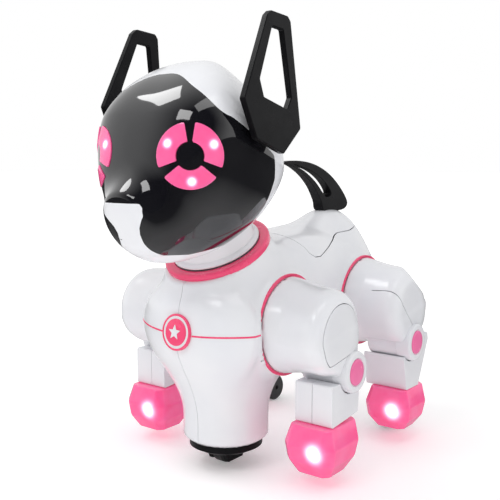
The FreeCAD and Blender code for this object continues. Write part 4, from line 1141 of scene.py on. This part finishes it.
def aimed(name, data, place, target):
    """A lamp or camera at a place, looking at a target."""
    obj = bpy.data.objects.new(name, data)
    obj.location = place
    obj.rotation_euler = (Vector(target) - Vector(place)).to_track_quat("-Z", "Y").to_euler()
    in_scene(obj)
    return obj


def soft_box(name, place, size, power):
    data = bpy.data.lights.new(name, "AREA")
    data.shape, data.energy = "RECTANGLE", power
    data.size, data.size_y = size
    aimed(name, data, place, LIT_POINT)


# The camera, in metres, and the point that the soft boxes face.
CAMERA_PLACE, CAMERA_TARGET, CAMERA_LENS = (0.2547, -0.33685, 0.16098), (0, -0.0044, 0.1125), 55.6
LIT_POINT = (0, -0.06, 0.16)
FLOOR_HALF = 9000
# How strongly the floor glows near the dog and far from it.
FLOOR_GLOW = (0.24, 0.46)
DIFFUSE_SKY, CAMERA_SKY, GLOSSY_SKY = 0.72, 1.0, 0.8
DARK_SIDE = (0.52, -0.80, 0.30)
# Where each soft box stands, its width and height, all in metres, and its power in watts.
LIGHTS = {
    "key": ((-0.03, -0.62, 0.68), (0.32, 0.2), 0.9),
    "top_left": ((-0.42, -0.2, 0.77), (0.24, 0.24), 0.9),
    "top_right": ((0.3, -0.17, 0.87), (0.66, 0.24), 0.9),
}


def build_world(scene):
    """A white room that turns dark only in reflections, on the side where the camera stands."""
    world = bpy.data.worlds.new("studio")
    scene.world = world
    n = Nodes(world)
    direction = n.new("TexCoord").outputs["Generated"]
    toward = {0: direction, 1: Vector(DARK_SIDE).normalized()}
    facing = n.new("VectorMath", toward, operation="DOT_PRODUCT").outputs["Value"]
    sky = (GLOSSY_SKY, GLOSSY_SKY, GLOSSY_SKY)
    glossy = n.ramp(facing, sky, (0.03, 0.03, 0.035), (0.15, 0.75))
    rays = n.new("LightPath")
    mixes = []
    for ray in ("Is Glossy Ray", "Is Camera Ray"):
        mix = n.new("Mix", data_type="RGBA")
        sockets = {i.identifier: i for i in (*mix.inputs, *mix.outputs)}
        n.link(rays.outputs[ray], sockets["Factor_Float"])
        mixes.append(sockets)
    by_mirror, by_camera = mixes
    by_mirror["A_Color"].default_value = (DIFFUSE_SKY, DIFFUSE_SKY, DIFFUSE_SKY, 1)
    n.link(glossy, by_mirror["B_Color"])
    n.link(by_mirror["Result_Color"], by_camera["A_Color"])
    by_camera["B_Color"].default_value = (CAMERA_SKY, CAMERA_SKY, CAMERA_SKY, 1)
    n.link(by_camera["Result_Color"], n.find("BACKGROUND").inputs["Color"])


def build_camera(scene):
    camera = aimed("camera", bpy.data.cameras.new("camera"), CAMERA_PLACE, CAMERA_TARGET)
    camera.data.lens, camera.data.sensor_width = CAMERA_LENS, 36
    camera.data.clip_start, camera.data.clip_end = 0.01, 50
    scene.camera = camera


def build_floor():
    """A pale floor, which mirrors such as the mask see fall dark away from the dog."""
    corners = [(-FLOOR_HALF, -FLOOR_HALF, 0), (FLOOR_HALF, -FLOOR_HALF, 0)]
    corners += [(-x, -y, z) for x, y, z in corners]
    floor = mesh_object("floor", corners, [(0, 1, 2, 3)])
    pale = Shader("pale_floor", (0.9, 0.9, 0.9), 0.6)
    pale.bsdf.inputs["Emission Color"].default_value = (1, 1, 1, 1)
    pale.vary_color(3, (0.9, 0.9, 0.9), (0.92, 0.92, 0.92))
    away = pale.new("VectorMath", {0: pale.coordinates}, operation="LENGTH").outputs["Value"]
    pale.link(pale.spread(away, *FLOOR_GLOW, 0.1, 0.7), pale.bsdf.inputs["Emission Strength"])
    edge = pale.spread(away, 0.55, 0.97, 0.14, 0.34)
    mirrors = pale.new("LightPath").outputs["Is Glossy Ray"]
    share = pale.new("Math", {0: mirrors, 1: edge}, operation="MULTIPLY").outputs["Value"]
    dark = pale.new("BsdfDiffuse", {"Color": (0.02, 0.02, 0.02, 1)}).outputs["BSDF"]
    mixed = pale.new("MixShader", {"Fac": share, 1: pale.bsdf.outputs["BSDF"], 2: dark})
    pale.link(mixed.outputs["Shader"], pale.find("OUTPUT_MATERIAL").inputs["Surface"])
    floor.data.materials.append(pale.material)


def build_studio():
    scene = bpy.context.scene
    build_camera(scene)
    build_floor()
    build_world(scene)
    for name, light in LIGHTS.items():
        soft_box(name, *light)
    scene.view_settings.view_transform = "Standard"


build_torso()
build_badge()
build_trim()
build_head()
build_neck()
build_ears()
build_tail()
build_thighs()
build_knees()
build_shins()
build_paws()
dress_cad_nodes()
for spare in [o for o in bpy.context.scene.objects if o.type == "MESH" and "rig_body" not in o]:
    bpy.data.objects.remove(spare)
build_studio()
